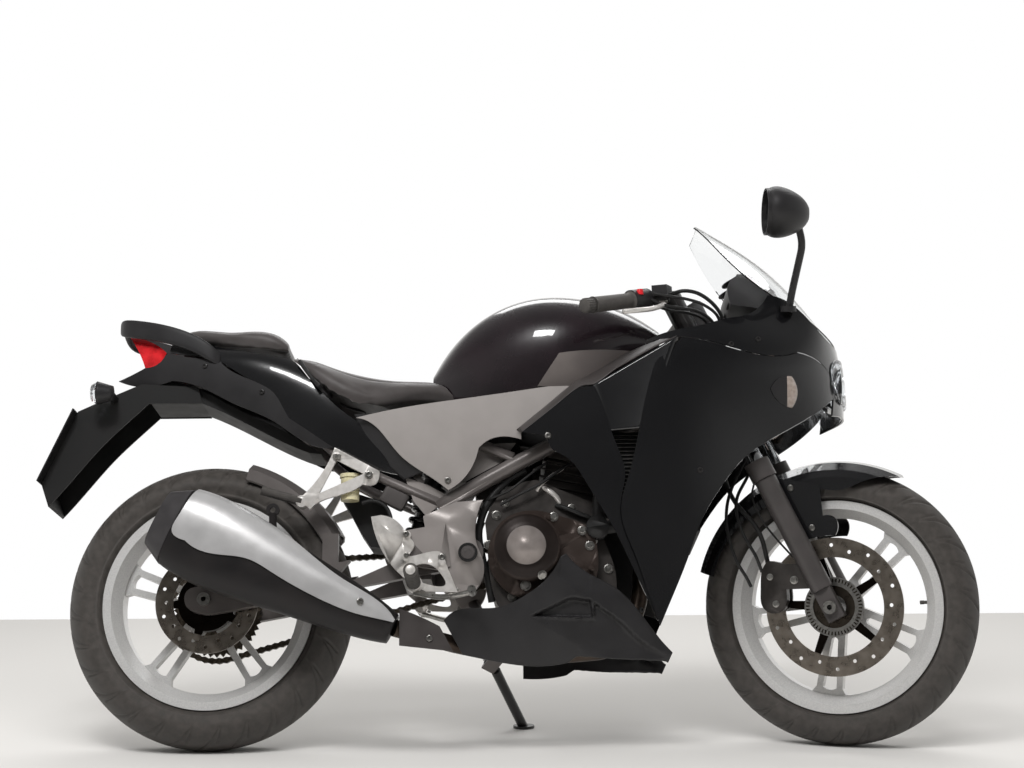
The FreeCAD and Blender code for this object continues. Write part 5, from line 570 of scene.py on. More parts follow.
def tyreSection(tyre):
    # half section from crown to bead as a smooth line: columns are (across, radius)
    base = tread["beadRadius"]
    rows = [(wide * tyre["half"], base + high * tyre["height"]) for high, wide in tread["section"]]
    right = smoothLine([(-rows[1][0], rows[1][1])] + rows, tread["steps"])
    right = right[right[:, 0] >= -1e-6]
    right = right[np.argmax(right[:, 1]):]
    right[0, 0] = 0.0
    wide, high = tread["lipMm"]
    low = [(tyre["bead"] + wide, base + tread["flange"] + high), (tyre["bead"], base + tread["flange"]),
           (tyre["bead"], base + tread["clearance"])]
    return right, np.array(low)


def grooveDepth(share, angle, pitches):
    # share runs 0 at the crown to 1 at the shoulder; each pitch has a long swept groove and a short one between
    depth = np.zeros(np.broadcast(share, angle).shape)
    turn = angle * pitches / (2 * math.pi)
    for start, low, high, sweep, width, sign in tread["grooves"]:
        here = share * sign
        centre = start + sweep * np.clip(here, 0, 1) ** tread["bend"]
        gap = np.abs((turn - centre + 0.5) % 1 - 0.5)
        across = gap * (2 * math.pi / pitches) * tread["radius"]
        inside = np.clip((here - low) / tread["fade"][0], 0, 1) * np.clip((high - here) / tread["fade"][1], 0, 1)
        wide = tread["grooveMm"] * width * (tread["taper"][0] - tread["taper"][1] * np.clip(here, 0, 1))
        depth = np.maximum(depth, inside * np.clip(tread["wall"] - across / wide, 0, 1))
    return depth


def addTyre(kind):
    # the section turned about the axle; grooves cut in along the radius
    tyre = tyres[kind]
    half, low = tyreSection(tyre)
    step = np.concatenate([[0], np.cumsum(np.linalg.norm(np.diff(half, axis=0), axis=1))])
    shoulder = np.interp(tread["shoulder"] * tyre["half"], half[:, 0], step)
    fine, coarse = tread["columns"]
    at = np.concatenate([np.linspace(0, shoulder, fine), np.linspace(shoulder, step[-1], coarse)[1:]])
    side = np.vstack([np.stack([np.interp(at, step, half[:, 0]), np.interp(at, step, half[:, 1])], -1), low])
    share = np.concatenate([at / shoulder, np.full(len(low), 2.0)])
    section = np.vstack([side[::-1] * [-1, 1], side[1:]])
    share = np.concatenate([-share[::-1], share[1:]])
    angle, c, s = circle(tread["around"])
    depth = grooveDepth(share[None, :], angle[:, None], tyre["pitches"]) * tread["depthMm"]
    radius = section[None, :, 1] - np.where(np.abs(share)[None, :] > 1, 0, depth)
    across = np.broadcast_to(section[None, :, 0], radius.shape)
    points = np.stack([tyre["hub"][0] + radius * c[:, None], across, tyre["hub"][2] + radius * s[:, None]], -1)
    faces = gridFaces(len(angle), len(section), closeRows=True, closeColumns=True)
    addPiece(kind + "_tyre_tread", [(points.reshape(-1, 3), faces[:, ::-1])], "tyre_rubber", kind + "_wheel",
             kind + "_tyre", stands=True, welded=False)


for kind in tyres:
    addTyre(kind)
print("tyres")

# Seats: the solid's shell blown up a little by cloth, then its seams drawn in
seats = {
    "rider_seat": {"shrinkMm": 2.6, "capMm": 5.0, "fill": 0.7, "seamShare": 0.80, "seamMm": 1.6, "seamWideMm": 2.2},
    "pillion_seat": {"shrinkMm": 2.0, "capMm": 4.5, "fill": 0.8, "seamShare": 0.84, "seamMm": 1.4, "seamWideMm": 2.0},
}
cover = {"voxelMm": 5.0, "pressure": 2.0, "quality": 5, "frames": 20, "noSteps": 10, "fewerWrinkles": 8,
         "binMm": 8, "binsEvened": 7, "topFacing": 0.1}
shellWeldM = 2e-5


def mergedMesh(node):
    # the node's loose triangles as one closed shell
    return edited(nodes[node].data.copy(), lambda edit: weld(edit, shellWeldM))


def vertexNormals(mesh):
    return readAll(mesh.vertex_normals, "vector")


def evaluated(made):
    return bpy.data.meshes.new_from_object(made.evaluated_get(bpy.context.evaluated_depsgraph_get()))


def applyModifiers(made):
    shape = evaluated(made)
    made.modifiers.clear()
    made.data = shape


def addSmooth(made, name, times):
    even = made.modifiers.new(name, "SMOOTH")
    even.factor, even.iterations = 0.5, times


def swell(made, capMm):
    # cloth pressure pushes the cover out; no point goes further than the cap
    before = coordinates(made.data)
    cloth = made.modifiers.new("cover", "CLOTH")
    cloth.settings.use_pressure = True
    cloth.settings.uniform_pressure_force = cover["pressure"]
    cloth.settings.effector_weights.gravity = 0
    cloth.settings.quality = cover["quality"]
    cloth.point_cache.frame_start, cloth.point_cache.frame_end = 1, cover["frames"]
    for step in range(1, cover["frames"] + 1):
        bpy.context.scene.frame_set(step)
    move = coordinates(evaluated(made)) - before
    made.modifiers.clear()
    bpy.context.scene.frame_set(1)
    far = np.linalg.norm(move, axis=1, keepdims=True)
    moveTo(made.data, before + move * np.minimum(1, capMm / 1000 / np.maximum(far, 1e-9)))
    addSmooth(made, "fewer_wrinkles", cover["fewerWrinkles"])
    applyModifiers(made)


def drawSeam(mesh, seat):
    # the cover sinks along a line that keeps a share of the seat's half width, on both sides
    here = fromRow(coordinates(mesh), "chassis")
    start, step, count = here[:, 0].min(), cover["binMm"], cover["binsEvened"]
    bins = np.round((here[:, 0] - start) / step).astype(int)
    widest = np.zeros(bins.max() + 1)
    np.maximum.at(widest, bins, np.abs(here[:, 1]))
    soft = np.convolve(np.pad(widest, count // 2, mode="edge"), np.ones(count) / count, "valid")
    half = np.interp(here[:, 0], start + step * np.arange(len(soft)), soft)
    normals = vertexNormals(mesh)
    off = np.abs(np.abs(here[:, 1]) - seat["seamShare"] * half)
    sink = seat["seamMm"] * np.exp(-(off / seat["seamWideMm"]) ** 2) * (normals[:, 2] > cover["topFacing"])
    moveTo(mesh, coordinates(mesh) - normals * sink[:, None] / 1000)


def addSeat(node, seat):
    made = linked(node + "_cover", mergedMesh(node))
    remesh = made.modifiers.new("even", "REMESH")
    remesh.mode = "VOXEL"
    remesh.voxel_size = cover["voxelMm"] / 1000
    addSmooth(made, "no_steps", cover["noSteps"])
    applyModifiers(made)
    moveTo(made.data, coordinates(made.data) - vertexNormals(made.data) * seat["shrinkMm"] / 1000)
    swell(made, seat["capMm"])
    finer = made.modifiers.new("finer", "SUBSURF")
    finer.levels = finer.render_levels = 1
    applyModifiers(made)
    drawSeam(made.data, seat)
    shade(made.data, ["seat_vinyl"])
    fixTo(made, "chassis", node, stands=True)


for node, seat in seats.items():
    addSeat(node, seat)
print("seats")

# A node's shell as a piece of its own in several finishes: its body, the finish of the rest, and rules. A face
# takes the first rule whose limits hold for its own centre (x, side, z) and its solid's low and high corners, in
# upright millimetres; side is the distance from the middle.
endless = 1e9
painted = {
    # the master cylinder's lever is bare alloy, like the clutch lever
    "bar_controls": ("steering", "dark_moulded_abs", [
        ("bare_cast_alloy", {"lowZ": (-endless, 945), "highY": (300, endless)}),
        ("bare_cast_alloy", {"side": (232, endless)}),
        ("bare_cast_alloy", {"x": (1036, endless), "z": (-endless, 972)})]),
    "handlebars": ("steering", "grip_rubber", [("black_powder_coat", {"highX": (1050, endless)})]),
    "front_brake": ("steering", "engine_enamel", [("hose_rubber", {"highZ": (500, endless)})]),
    "rear_indicators": ("chassis", "dark_moulded_abs", [("clear_lens", {"highX": (-endless, -240)})]),
    "front_indicators": ("chassis", "dark_moulded_abs", [("indicator_lens", {"x": (1251, endless)})]),
    "engine_covers": ("chassis", "engine_enamel", [
        ("clutch_enamel", {"highY": (-endless, 0)}), ("black_polypropylene", {"highX": (-endless, 600)})]),
    "radiator": ("chassis", "hose_rubber", [("radiator_black", {"lowX": (1020, endless)})]),
    "muffler": ("chassis", "heatproof_black", [("moulded_abs", {"lowX": (400, endless)})]),
    "pillion_steps": ("chassis", "bare_cast_alloy", [("grip_rubber", {"x": (-endless, 192)})]),
    "rider_steps": ("chassis", "bare_cast_alloy", [
        ("grip_rubber", {"x": (435.5, 460.5), "z": (317, 353), "side": (190, endless)})]),
    # the pivot plates take the paler copy of the frame's coat: painted highlight
    "frame": ("chassis", "graphite_powder_coat", [
        ("pale_powder_coat", {"x": (460, 600), "z": (310, 520), "side": (117, endless)})]),
}
cutAt = {"front_indicators": 1251}
paintedSharpDeg = 28


def solidLabels(mesh):
    # the lowest vertex number of each vertex's own solid
    label = np.arange(len(mesh.vertices))
    ends = readAll(mesh.edges, "vertices", 2, int)
    while True:
        low = np.minimum(label[ends[:, 0]], label[ends[:, 1]])
        before = label.copy()
        np.minimum.at(label, ends[:, 0], low)
        np.minimum.at(label, ends[:, 1], low)
        label = label[label]
        if np.array_equal(label, before):
            return label


def paintParts(node, body, rest, rules):
    # a cut first runs edges round the node at one place along the machine
    mesh = mergedMesh(node)
    if node in cutAt:
        place, way = toRow((cutAt[node], 0, 0), body), places[body][0] @ np.array([1.0, 0, 0])
        edited(mesh, lambda edit: bmesh.ops.bisect_plane(
            edit, geom=edit.verts[:] + edit.edges[:] + edit.faces[:], dist=1e-6, plane_co=place, plane_no=way))
    label = solidLabels(mesh)
    here = fromRow(coordinates(mesh), body)
    low, high = np.full_like(here, np.inf), np.full_like(here, -np.inf)
    np.minimum.at(low, label, here)
    np.maximum.at(high, label, here)
    corner = readAll(mesh.loops, "vertex_index", 1, int)[readAll(mesh.polygons, "loop_start", 1, int)[:, 0], 0]
    low, high = low[label[corner]], high[label[corner]]
    centre = fromRow(readAll(mesh.polygons, "center"), body)
    measures = {"x": centre[:, 0], "side": np.abs(centre[:, 1]), "z": centre[:, 2], "lowX": low[:, 0],
                "lowZ": low[:, 2], "highX": high[:, 0], "highY": high[:, 1], "highZ": high[:, 2]}
    names = np.full(len(centre), rest, object)
    for kind, limits in rules[::-1]:
        names[np.all([(measures[key] > a) & (measures[key] < b) for key, (a, b) in limits.items()], axis=0)] = kind
    kinds = sorted(set(names))
    shade(mesh, kinds, paintedSharpDeg)
    mesh.polygons.foreach_set("material_index", np.array([kinds.index(kind) for kind in names]))
    fixTo(linked(node + "_painted", mesh), body, node, stands=True)


for node, rule in painted.items():
    paintParts(node, *rule)
print("painted parts")

# The belly pan's side pressed in behind its bevel, with a slot under it
belly = {"apex": (690.0, 261.0), "slotTop": ((777.0, 301.0), (821.0, 296.0)), "lipEnd": (826.0, 258.0),
         "nose": (985.0, 178.0), "creaseEnd": (815.0, 187.0), "slotMm": 16.0, "recessMm": 14.0, "rampMm": 4.0,
         "overMm": 30.0, "edgeMm": 5.0, "bevelStart": (735.0, 348.0), "bevelMm": 17.0, "bevelWideMm": 46.0,
         "bevelRampMm": 22.0, "hem": ((792.0, 178.0), (978.0, 168.0)), "hemReachMm": 55.0, "hemStepMm": 6.0,
         "hemNearMm": 5.0, "finerX": (680, 995), "finerY": ((-300, -90), (90, 300)), "finerZ": (150, 400),
         "sideMm": 90, "sharpDeg": 30, "halvings": 10}


def lineSide(x, z, a, b):
    # signed distance from the line through a and b, positive on its left
    ahead = np.subtract(b, a) / np.hypot(*np.subtract(b, a))
    return ahead[0] * (z - a[1]) - ahead[1] * (x - a[0])


def bellyDepth(x, z):
    # slot: full depth inside its four sides; recess: from nothing at the crease to full depth at the bevel
    apex, (topA, topB), lip, ramp = belly["apex"], belly["slotTop"], belly["lipEnd"], belly["rampMm"]
    under = lineSide(x, z, lip, apex)
    inside = np.min([-under, lineSide(x, z, lip, topB), lineSide(x, z, topB, topA), lineSide(x, z, topA, apex)],
                    axis=0)
    slot = belly["slotMm"] * np.clip(inside / ramp, 0, 1)
    below = lineSide(x, z, belly["nose"], topB)
    above = lineSide(x, z, apex, belly["creaseEnd"])
    over = lineSide(x, z, belly["creaseEnd"], belly["nose"])
    share = np.clip(above, 0, None) / (np.clip(above, 0, None) + np.clip(below, 0, None) + 1e-6)
    recess = belly["recessMm"] * share * np.clip(below / ramp, 0, 1) * np.clip(over / belly["overMm"], 0, 1)
    recess = recess * (above > 0) * np.clip(np.maximum(under, x - lip[0]) / ramp, 0, 1)
    start = belly["bevelStart"]
    outside = np.where(x > topB[0], lineSide(x, z, topB, belly["nose"]), lineSide(x, z, start, topB))
    bevel = belly["bevelMm"] * np.clip(outside / belly["bevelWideMm"], 0, 1)
    bevel = bevel * np.clip((x - start[0]) / belly["bevelRampMm"], 0, 1)
    return np.maximum(np.maximum(slot, recess), bevel)


def hemDrop(x, z):
    # how far a place sinks so that the lower edge runs straight, fading out upwards
    (startX, startZ), (endX, endZ) = belly["hem"]
    columns, near = np.arange(startX, endX + 1, belly["hemStepMm"]), belly["hemNearMm"]
    edge = np.array([z[np.abs(x - c) < near].min() if np.any(np.abs(x - c) < near) else np.inf for c in columns])
    line = startZ + (columns - startX) / (endX - startX) * (endZ - startZ)
    drop = np.interp(x, columns, np.clip(np.where(np.isfinite(edge), edge - line, 0), 0, None), left=0, right=0)
    low = np.interp(x, columns, np.where(np.isfinite(edge), edge, line))
    fade = np.clip(1 - (z - low) / belly["hemReachMm"], 0, 1)
    return drop * fade * fade * (3 - 2 * fade)


def finerEdges(edit, low, high):
    # edges that overlap an upright box are halved until none is long
    for step in range(belly["halvings"]):
        edit.verts.index_update()
        here = fromRow(np.array([v.co for v in edit.verts]), "chassis")
        ends = np.array([[v.index for v in e.verts] for e in edit.edges])
        a, b = here[ends[:, 0]], here[ends[:, 1]]
        far = np.linalg.norm(a - b, axis=1)
        meets = np.all((np.minimum(a, b) <= high) & (np.maximum(a, b) >= low), axis=1)
        edges = list(edit.edges)
        chosen = [edges[k] for k in np.nonzero(meets & (far > belly["edgeMm"]))[0]]
        if not chosen:
            break
        bmesh.ops.subdivide_edges(edit, edges=chosen, cuts=1)
        bmesh.ops.triangulate(edit, faces=[f for f in edit.faces if len(f.verts) > 3])


def finerSides(edit):
    for span in belly["finerY"]:
        low, high = np.array([belly["finerX"], span, belly["finerZ"]]).T
        finerEdges(edit, low, high)


def addBelly():
    mesh = edited(mergedMesh("belly_pan"), finerSides)
    here = fromRow(coordinates(mesh), "chassis")
    depth = bellyDepth(here[:, 0], here[:, 2]) * (np.abs(here[:, 1]) > belly["sideMm"])
    here[:, 1] -= np.sign(here[:, 1]) * depth
    here[:, 2] -= hemDrop(here[:, 0], here[:, 2])
    moveTo(mesh, toRow(here, "chassis"))
    shade(mesh, ["dark_moulded_abs"], belly["sharpDeg"])
    fixTo(linked("belly_pan_pressed", mesh), "chassis", "belly_pan", stands=True)


addBelly()
print("belly pan")

# Grab rail: a blade with a rounded oblong section
rail = {"route": [(24.0, -79.5, 826.0), (0.0, -97.0, 853.0), (-50.0, -98.0, 884.0), (-120.0, -90.0, 908.0),
                  (-200.0, -62.0, 927.0), (-212.0, 0.0, 937.0)],
        "heightMm": (12, 30, 37, 40, 38, 20), "widthMm": 13.0, "roundness": 0.55, "steps": 150,
        "points": 28}


def addRail():
    # a rounded oblong carried along the line: cos and sin raised to the roundness, times half width and height
    half = [place + (high,) for place, high in zip(rail["route"], rail["heightMm"])]
    line = smoothLine(half + [(x, -y, z, high) for x, y, z, high in half[-2::-1]], rail["steps"])
    line, heights = line[:, :3], line[:, 3]
    ahead = unit(np.gradient(line, axis=0))
    across = unit(np.cross(ahead, (0, 0, 1.0)))
    over = np.cross(across, ahead)
    c, s = (np.sign(f) * np.abs(f) ** rail["roundness"] for f in circle(rail["points"])[1:])
    rings = (line[:, None] + c[None, :, None] * across[:, None] * rail["widthMm"] / 2
             + s[None, :, None] * over[:, None] * heights[:, None, None] / 2)
    addPiece("grab_rail_blade", [cappedTube(line, rings)], "dark_moulded_abs", "chassis", "grab_rail", stands=True)


addRail()

# Sheets between two edges. Shoulder: a ledge from the scoop's top edge in to the tank, and the dark sheet that
# closes the gap below it; tail trim: each edge lies just under its panel
shoulder = {"outer": [(679.0, -203.0, 646.5), (740.0, -203.0, 695.0), (802.0, -203.2, 744.5), (838.0, -203.4, 752.0),
                      (880.0, -207.0, 782.0), (918.0, -212.0, 803.0), (952.0, -217.0, 821.0),
                      (980.0, -219.5, 835.0), (1014.0, -220.0, 850.0)],
            "inner": [(668.0, -158.0, 662.0), (728.0, -160.0, 711.0), (786.0, -150.0, 762.0), (820.0, -134.0, 786.0),
                      (862.0, -122.0, 812.0), (902.0, -116.0, 838.0), (938.0, -110.0, 856.0),
                      (972.0, -104.0, 868.0), (1006.0, -104.0, 880.0)],
            "bulgeMm": 5.0, "closerY": (-203.0, -221.5), "scoopEdge": [(832.0, 748.0), (850.0, 692.0), (862.0, 648.0)],
            "cowlEdge": [(1014.0, 851.0), (984.0, 770.0), (946.0, 650.0)], "ledgeGrid": (60, 14),
            "closerGrid": (30, 16)}
tailTrim = {"rear": [(316.0, -130.0, 708.0), (340.0, -130.0, 655.0), (384.0, -127.0, 601.0), (424.0, -124.0, 562.0)],
            "front": [(364.0, -146.5, 706.0), (384.0, -147.0, 664.0), (442.0, -147.5, 614.0), (474.0, -147.5, 578.0)],
            "grid": (40, 10)}
sheetWallMm = 2.5


def addSheetPair(name, grid, finishName, turned):
    # the right sheet and its twin, both given a wall
    for side, tag in bothSides:
        faces = gridFaces(*grid.shape[:2])
        faces = faces[:, ::-1] if turned == (side > 0) else faces
        made = addPiece(name + "_" + tag, [(grid.reshape(-1, 3) * [1, side, 1], faces)], finishName, welded=False)
        wall = made.modifiers.new("wall", "SOLIDIFY")
        wall.thickness = sheetWallMm / 1000
        wall.offset = 0


def addShoulders():
    # ledge: straight between the two edges plus a parabola upwards; closer: straight across between its edges
    ledge, t = between(shoulder["outer"], shoulder["inner"], shoulder["ledgeGrid"])
    ledge[..., 2] += (shoulder["bulgeMm"] * 4 * t * (1 - t))[..., 0]
    flat, t = between(shoulder["scoopEdge"], shoulder["cowlEdge"], shoulder["closerGrid"])
    start, end = shoulder["closerY"]
    closer = np.stack([flat[..., 0], start * (1 - t[..., 0]) + end * t[..., 0] + 0 * flat[..., 0], flat[..., 1]], -1)
    addSheetPair("shoulder_ledge", ledge, "moulded_abs", True)
    addSheetPair("shoulder_closer", closer, "black_lacquer", True)


addShoulders()
trim, _ = between(tailTrim["rear"], tailTrim["front"], tailTrim["grid"])
addSheetPair("tail_trim", trim, "dark_moulded_abs", False)
print("rail, shoulders and tail trim")

# Parts behind the frame: battery box, voltage regulator, starter motor, and the radiator's side fins
boxes = {"battery_box": ("black_polypropylene", (628, 0, 606), (148, 92, 82), 0),
         "voltage_regulator": ("charcoal_powder_coat", (403, -104, 527), (56, 26, 40), 28)}
starter = {"centre": (604.0, -30.0, 548.0), "radius": 29.0, "half": 55.0, "sides": 48,
           "profile": ((0, -1, 0), (0.8, -1, 0), (1, -1, 5), (1, 1, -14), (0.9, 1, -12), (0.9, 1, -3), (0.7, 1, 0),
                       (0, 1, 0))}
fins = {"x": (872.0, 966.0), "z": (520.0, 656.0), "y": -150.0, "outShare": 1.02, "plateMm": 2.0, "count": 15,
        "insetMm": (5.0, 8.0), "deepMm": 6.0, "thickMm": 1.2}


def boxMesh(centre, size, axes=np.eye(3)):
    # corners: the centre plus or minus half of each size along its own direction
    signs = np.array([(a, b, c) for a in (-1, 1) for b in (-1, 1) for c in (-1, 1)]) / 2
    points = centre + (signs * size) @ np.array(axes)
    return points, np.array([(0, 1, 3, 2), (4, 6, 7, 5), (0, 4, 5, 1), (2, 3, 7, 6), (0, 2, 6, 4), (1, 5, 7, 3)])


def roundedBox(centre, size, tiltDeg, rounding=0.25, steps=20):
    # superellipsoid: sines and cosines of two angles raised to the rounding, turned about the side axis
    u = np.linspace(-math.pi / 2, math.pi / 2, steps)[:, None]
    v = np.linspace(-math.pi, math.pi, 2 * steps, endpoint=False)[None, :]
    cu, su, cv, sv = (np.sign(f) * np.abs(f) ** rounding for f in (np.cos(u), np.sin(u), np.cos(v), np.sin(v)))
    shape = np.stack([cu * cv, cu * sv, su + 0 * v], -1) * np.asarray(size) / 2
    count, ring = 2 * steps * (steps - 2), tuple(range(2 * steps))
    faces = gridFaces(steps - 2, 2 * steps, closeColumns=True).tolist()
    caps = [ring[::-1], tuple(count - 2 * steps + i for i in ring)]
    return shape[1:-1].reshape(-1, 3) @ turnMatrix((0, 1, 0), tiltDeg).T + np.array(centre, float), faces + caps


def addFins():
    (x0, x1), (z0, z1) = fins["x"], fins["z"]
    inX, inZ = fins["insetMm"]
    for side, tag in bothSides:
        mid = np.array([(x0 + x1) / 2, side * fins["y"], (z0 + z1) / 2])
        plate = boxMesh(mid, np.array([x1 - x0, fins["plateMm"], z1 - z0]))
        addPiece("radiator_shroud_" + tag, [plate], "radiator_black")
        size = np.array([x1 - x0 - 2 * inX, fins["deepMm"], fins["thickMm"]])
        blades = [boxMesh(np.array([mid[0], mid[1] * fins["outShare"], z]), size)
                  for z in np.linspace(z0 + inZ, z1 - inZ, fins["count"])]
        addPiece("radiator_fins_" + tag, blades, "zinc_steel")


for name, (finishName, centre, size, tiltDeg) in boxes.items():
    addPiece(name, [roundedBox(centre, size, tiltDeg)], finishName)
profile = [(r * starter["radius"], end * starter["half"] + extra) for r, end, extra in starter["profile"]]
addPiece("starter_motor", [revolveMesh(profile, starter["centre"], (0, 1, 0), starter["sides"])],
         "engine_enamel")
addFins()
print("parts behind the frame")


def solidTree(names):
    # the named nodes as one thing that stands in the way of a ray, and each face's node
    points, faces, owner, start = [], [], [], 0
    for name in names:
        mesh = nodes[name].data
        mesh.calc_loop_triangles()
        points.append(coordinates(mesh))
        faces.append(readAll(mesh.loop_triangles, "vertices", 3, int) + start)
        owner += [name] * len(mesh.loop_triangles)
        start += len(mesh.vertices)
    return BVHTree.FromPolygons(np.vstack(points).tolist(), np.vstack(faces).tolist()), owner


# every node but the clear windscreen
solids, solidOwner = solidTree([name for name in nodes if name != "windscreen"])


def firstMet(start, way):
    # place, normal and node of the first surface that a ray meets
    place, normal, index, _ = solids.ray_cast(Vector(start), Vector(way))
    return None if place is None else (np.array(place), np.array(normal), solidOwner[index])


def facing(normal, toward):
    return normal if normal @ toward > 0 else -normal


def metAtPixel(u, v):
    # where a ray of the photograph first meets the machine, its normal towards the camera
    place, normal, owner = firstMet(cameraPlace, pixelRay(u, v))
    return place, facing(normal, cameraPlace - place), owner


def pixelOnSide(u, v, y, body="chassis"):
    # where the photograph's ray crosses an upright lengthwise plane of the body
    start, ahead = fromRow(cameraPlace, body), fromRow(cameraPlace + pixelRay(u, v), body)
    way = ahead - start
    return start + way * (y - start[1]) / way[1]


# Screws: body, finish, head, whether the other side has them, and each one's pixel and radius. Their heads are
# profiles of radius and height as shares of that radius, and the rows that are six-sided.
heads = {"hex": ((3, 4, 5), ((1.45, -0.5), (1.45, 0.15), (1.15, 0.22), (1.1, 0.24), (1.1, 0.95), (0.95, 1.05),
                             (0.0, 1.05))),
         "socket": ((4, 5), ((1.0, -0.5), (1.0, 0.30), (0.90, 0.52), (0.62, 0.62), (0.52, 0.60), (0.50, 0.18),
                             (0.0, 0.12)))}
screws = {
    "panel_screws": ("chassis", "zinc_steel", "socket", True, (
        (548, 435.6, 7), (447.9, 480.3, 7), (429.4, 638.4, 7), (360, 601.4, 7.5))),
    "bracket_bolts": ("chassis", "zinc_steel", "socket", True, (
        (336.9, 457.1, 9), (368.7, 474.8, 9), (406.1, 534.1, 7), (406.4, 555.1, 6), (442.2, 557.4, 9),
        (457.2, 590.7, 8.5))),
    "engine_bolts": ("chassis", "zinc_steel", "hex", False, (
        (488.2, 544.8, 7), (496.6, 515.3, 7), (542.4, 575.1, 7), (512.1, 596.9, 7), (525.7, 585.5, 8),
        (553.6, 516.9, 7), (582.3, 530.4, 7), (589.9, 545.6, 7), (611.8, 540.3, 6), (608.6, 568.7, 7),
        (614.2, 565.5, 5), (571.5, 508, 6), (505.5, 503.5, 6))),
    "cowl_screws": ("chassis", "black_powder_coat", "socket", True, (
        (731.2, 344.1, 6), (758, 339.3, 6), (700, 470, 6), (641, 610, 6), (262, 392, 6), (205, 366, 6))),
    "fender_stay_bolts": ("steering", "zinc_steel", "socket", True, ((790.6, 487.9, 7), (812, 527.7, 7))),
    "caliper_bolts": ("steering", "zinc_steel", "hex", False, ((794.1, 580.1, 6), (770, 577, 5), (776, 604, 5))),
}
screwSides, twinNearMm, farOutMm = 24, 12, 600


def screwMesh(place, normal, radius, head):
    # its base sinks by half its radius; a six-sided row's radius is the hexagon's own at each angle
    sixRows, rows = heads[head]

    def sixSides(count, angle):
        factor = np.ones((count, len(angle)))
        factor[list(sixRows)] = math.cos(math.pi / 6) / np.cos(angle % (math.pi / 3) - math.pi / 6)
        return factor

    return revolveMesh(np.array(rows) * radius / 1000, place, normal, screwSides, sixSides)


def otherSide(place, owner, body):
    # the same place on the machine's other side, met from far out, if the same node is there
    x, y, z = fromRow(place, body)
    away = -math.copysign(1, y)
    out = places[body][0] @ np.array([0, away, 0])
    met = firstMet(toRow((x, away * farOutMm, z), body), -out)
    if met is None or met[2] != owner or abs(fromRow(met[0], body)[1] + y) > twinNearMm:
        return None
    return met[0], facing(met[1], out)


def addScrews(name, body, finishName, head, mirrored, spots):
    parts = []
    for u, v, size in spots:
        place, normal, owner = metAtPixel(u, v)
        twin = otherSide(place, owner, body) if mirrored else None
        for spot in ((place, normal), twin):
            if spot:
                parts.append(screwMesh(*spot, size, head))
    addPiece(name, parts, finishName, body, metres=True)


for name, group in screws.items():
    addScrews(name, *group)
print("screws")

# Pivot cap: a dark ring and a lighter plug, flat on the pivot plate; profiles of radius and height
pivotCap = {"pixel": (467.8, 552.3), "sides": 48, "profiles": {
    "pivot_cap_ring": ("black_polypropylene", ((15.5, -0.5), (20.5, -0.5), (20.5, 2.0), (19.5, 3.0), (16.5, 3.0),
                                               (15.5, 2.0), (15.5, -0.5))),
    "pivot_cap_plug": ("charcoal_powder_coat", ((15.0, -0.5), (15.0, 1.2), (14.0, 2.0), (7.0, 2.4), (6.0, 1.6),
                                                (0.0, 1.6)))}}
capPlace, capNormal, _ = metAtPixel(*pivotCap["pixel"])
for name, (finishName, profile) in pivotCap["profiles"].items():
    cap = revolveMesh(np.array(profile) / 1000, capPlace, capNormal, pivotCap["sides"])
    addPiece(name, [cap], finishName, metres=True)

# Flat pieces: finish, the two planes they lie between, whether both sides have one, and corners in the picture
sheets = {
    "inner_guard": ("black_polypropylene", (-60.0, 30.0), False, (
        (341, 497), (352, 492), (386, 503), (394, 535), (385, 548), (371, 547), (360, 531), (350, 512))),
    # the gusset is drawn in the paler copy of the frame's coat: painted highlight
    "frame_gusset": ("pale_powder_coat", (-121.0, -115.0), True, (
        (405, 477), (428, 485), (450, 497), (426, 516), (413, 500))),
    # the panel's inner sheet in the side panels' grey, with its painted sheen
    "panel_inner_sheet": ("grey_abs_with_painted_sheen", (-102.0, -100.0), True, ((461, 484), (480, 444), (516, 443), (502, 462))),
    "lower_duct_sheet": ("black_polypropylene", (78.0, 80.0), False, (
        (598, 520), (640, 520), (660, 620), (630, 610), (600, 575))),
}


def addSheet(name, finishName, planes, mirrored, corners):
    # the outline where the picture's rays cross the first plane, carried straight to the second
    outline = np.array([pixelOnSide(u, v, planes[0]) for u, v in corners])
    points = np.vstack([outline, outline + [0, planes[1] - planes[0], 0]])
    count = len(outline)
    faces = [tuple(range(count))[::-1], tuple(range(count, 2 * count))]
    faces += [(i, (i + 1) % count, count + (i + 1) % count, count + i) for i in range(count)]
    twin = [(points * [1, -1, 1], [f[::-1] for f in faces])] if mirrored else []
    addPiece(name, [(points, faces)] + twin, finishName)


for name, sheet in sheets.items():
    addSheet(name, *sheet)

piping = {"radius": 4.6, "liftMm": 0.5, "steps": 60, "at": (
    (300, 361), (306, 370), (313, 379), (321, 388), (331, 396.5), (342, 403.5), (353, 408.5), (366, 411.5))}


def addPiping():
    # a cord along the seat's rim, lying on the first surface each ray meets
    met = [metAtPixel(u, v) for u, v in piping["at"]]
    route = [fromRow(place + out * piping["liftMm"] / 1000, "chassis") for place, out, _ in met]
    line = smoothLine(route, piping["steps"])
    addPiece("seat_piping", [tubeMesh(line * [1, side, 1], piping["radius"]) for side, _ in bothSides], "hose_rubber")


addPiping()
print("sheets and piping")

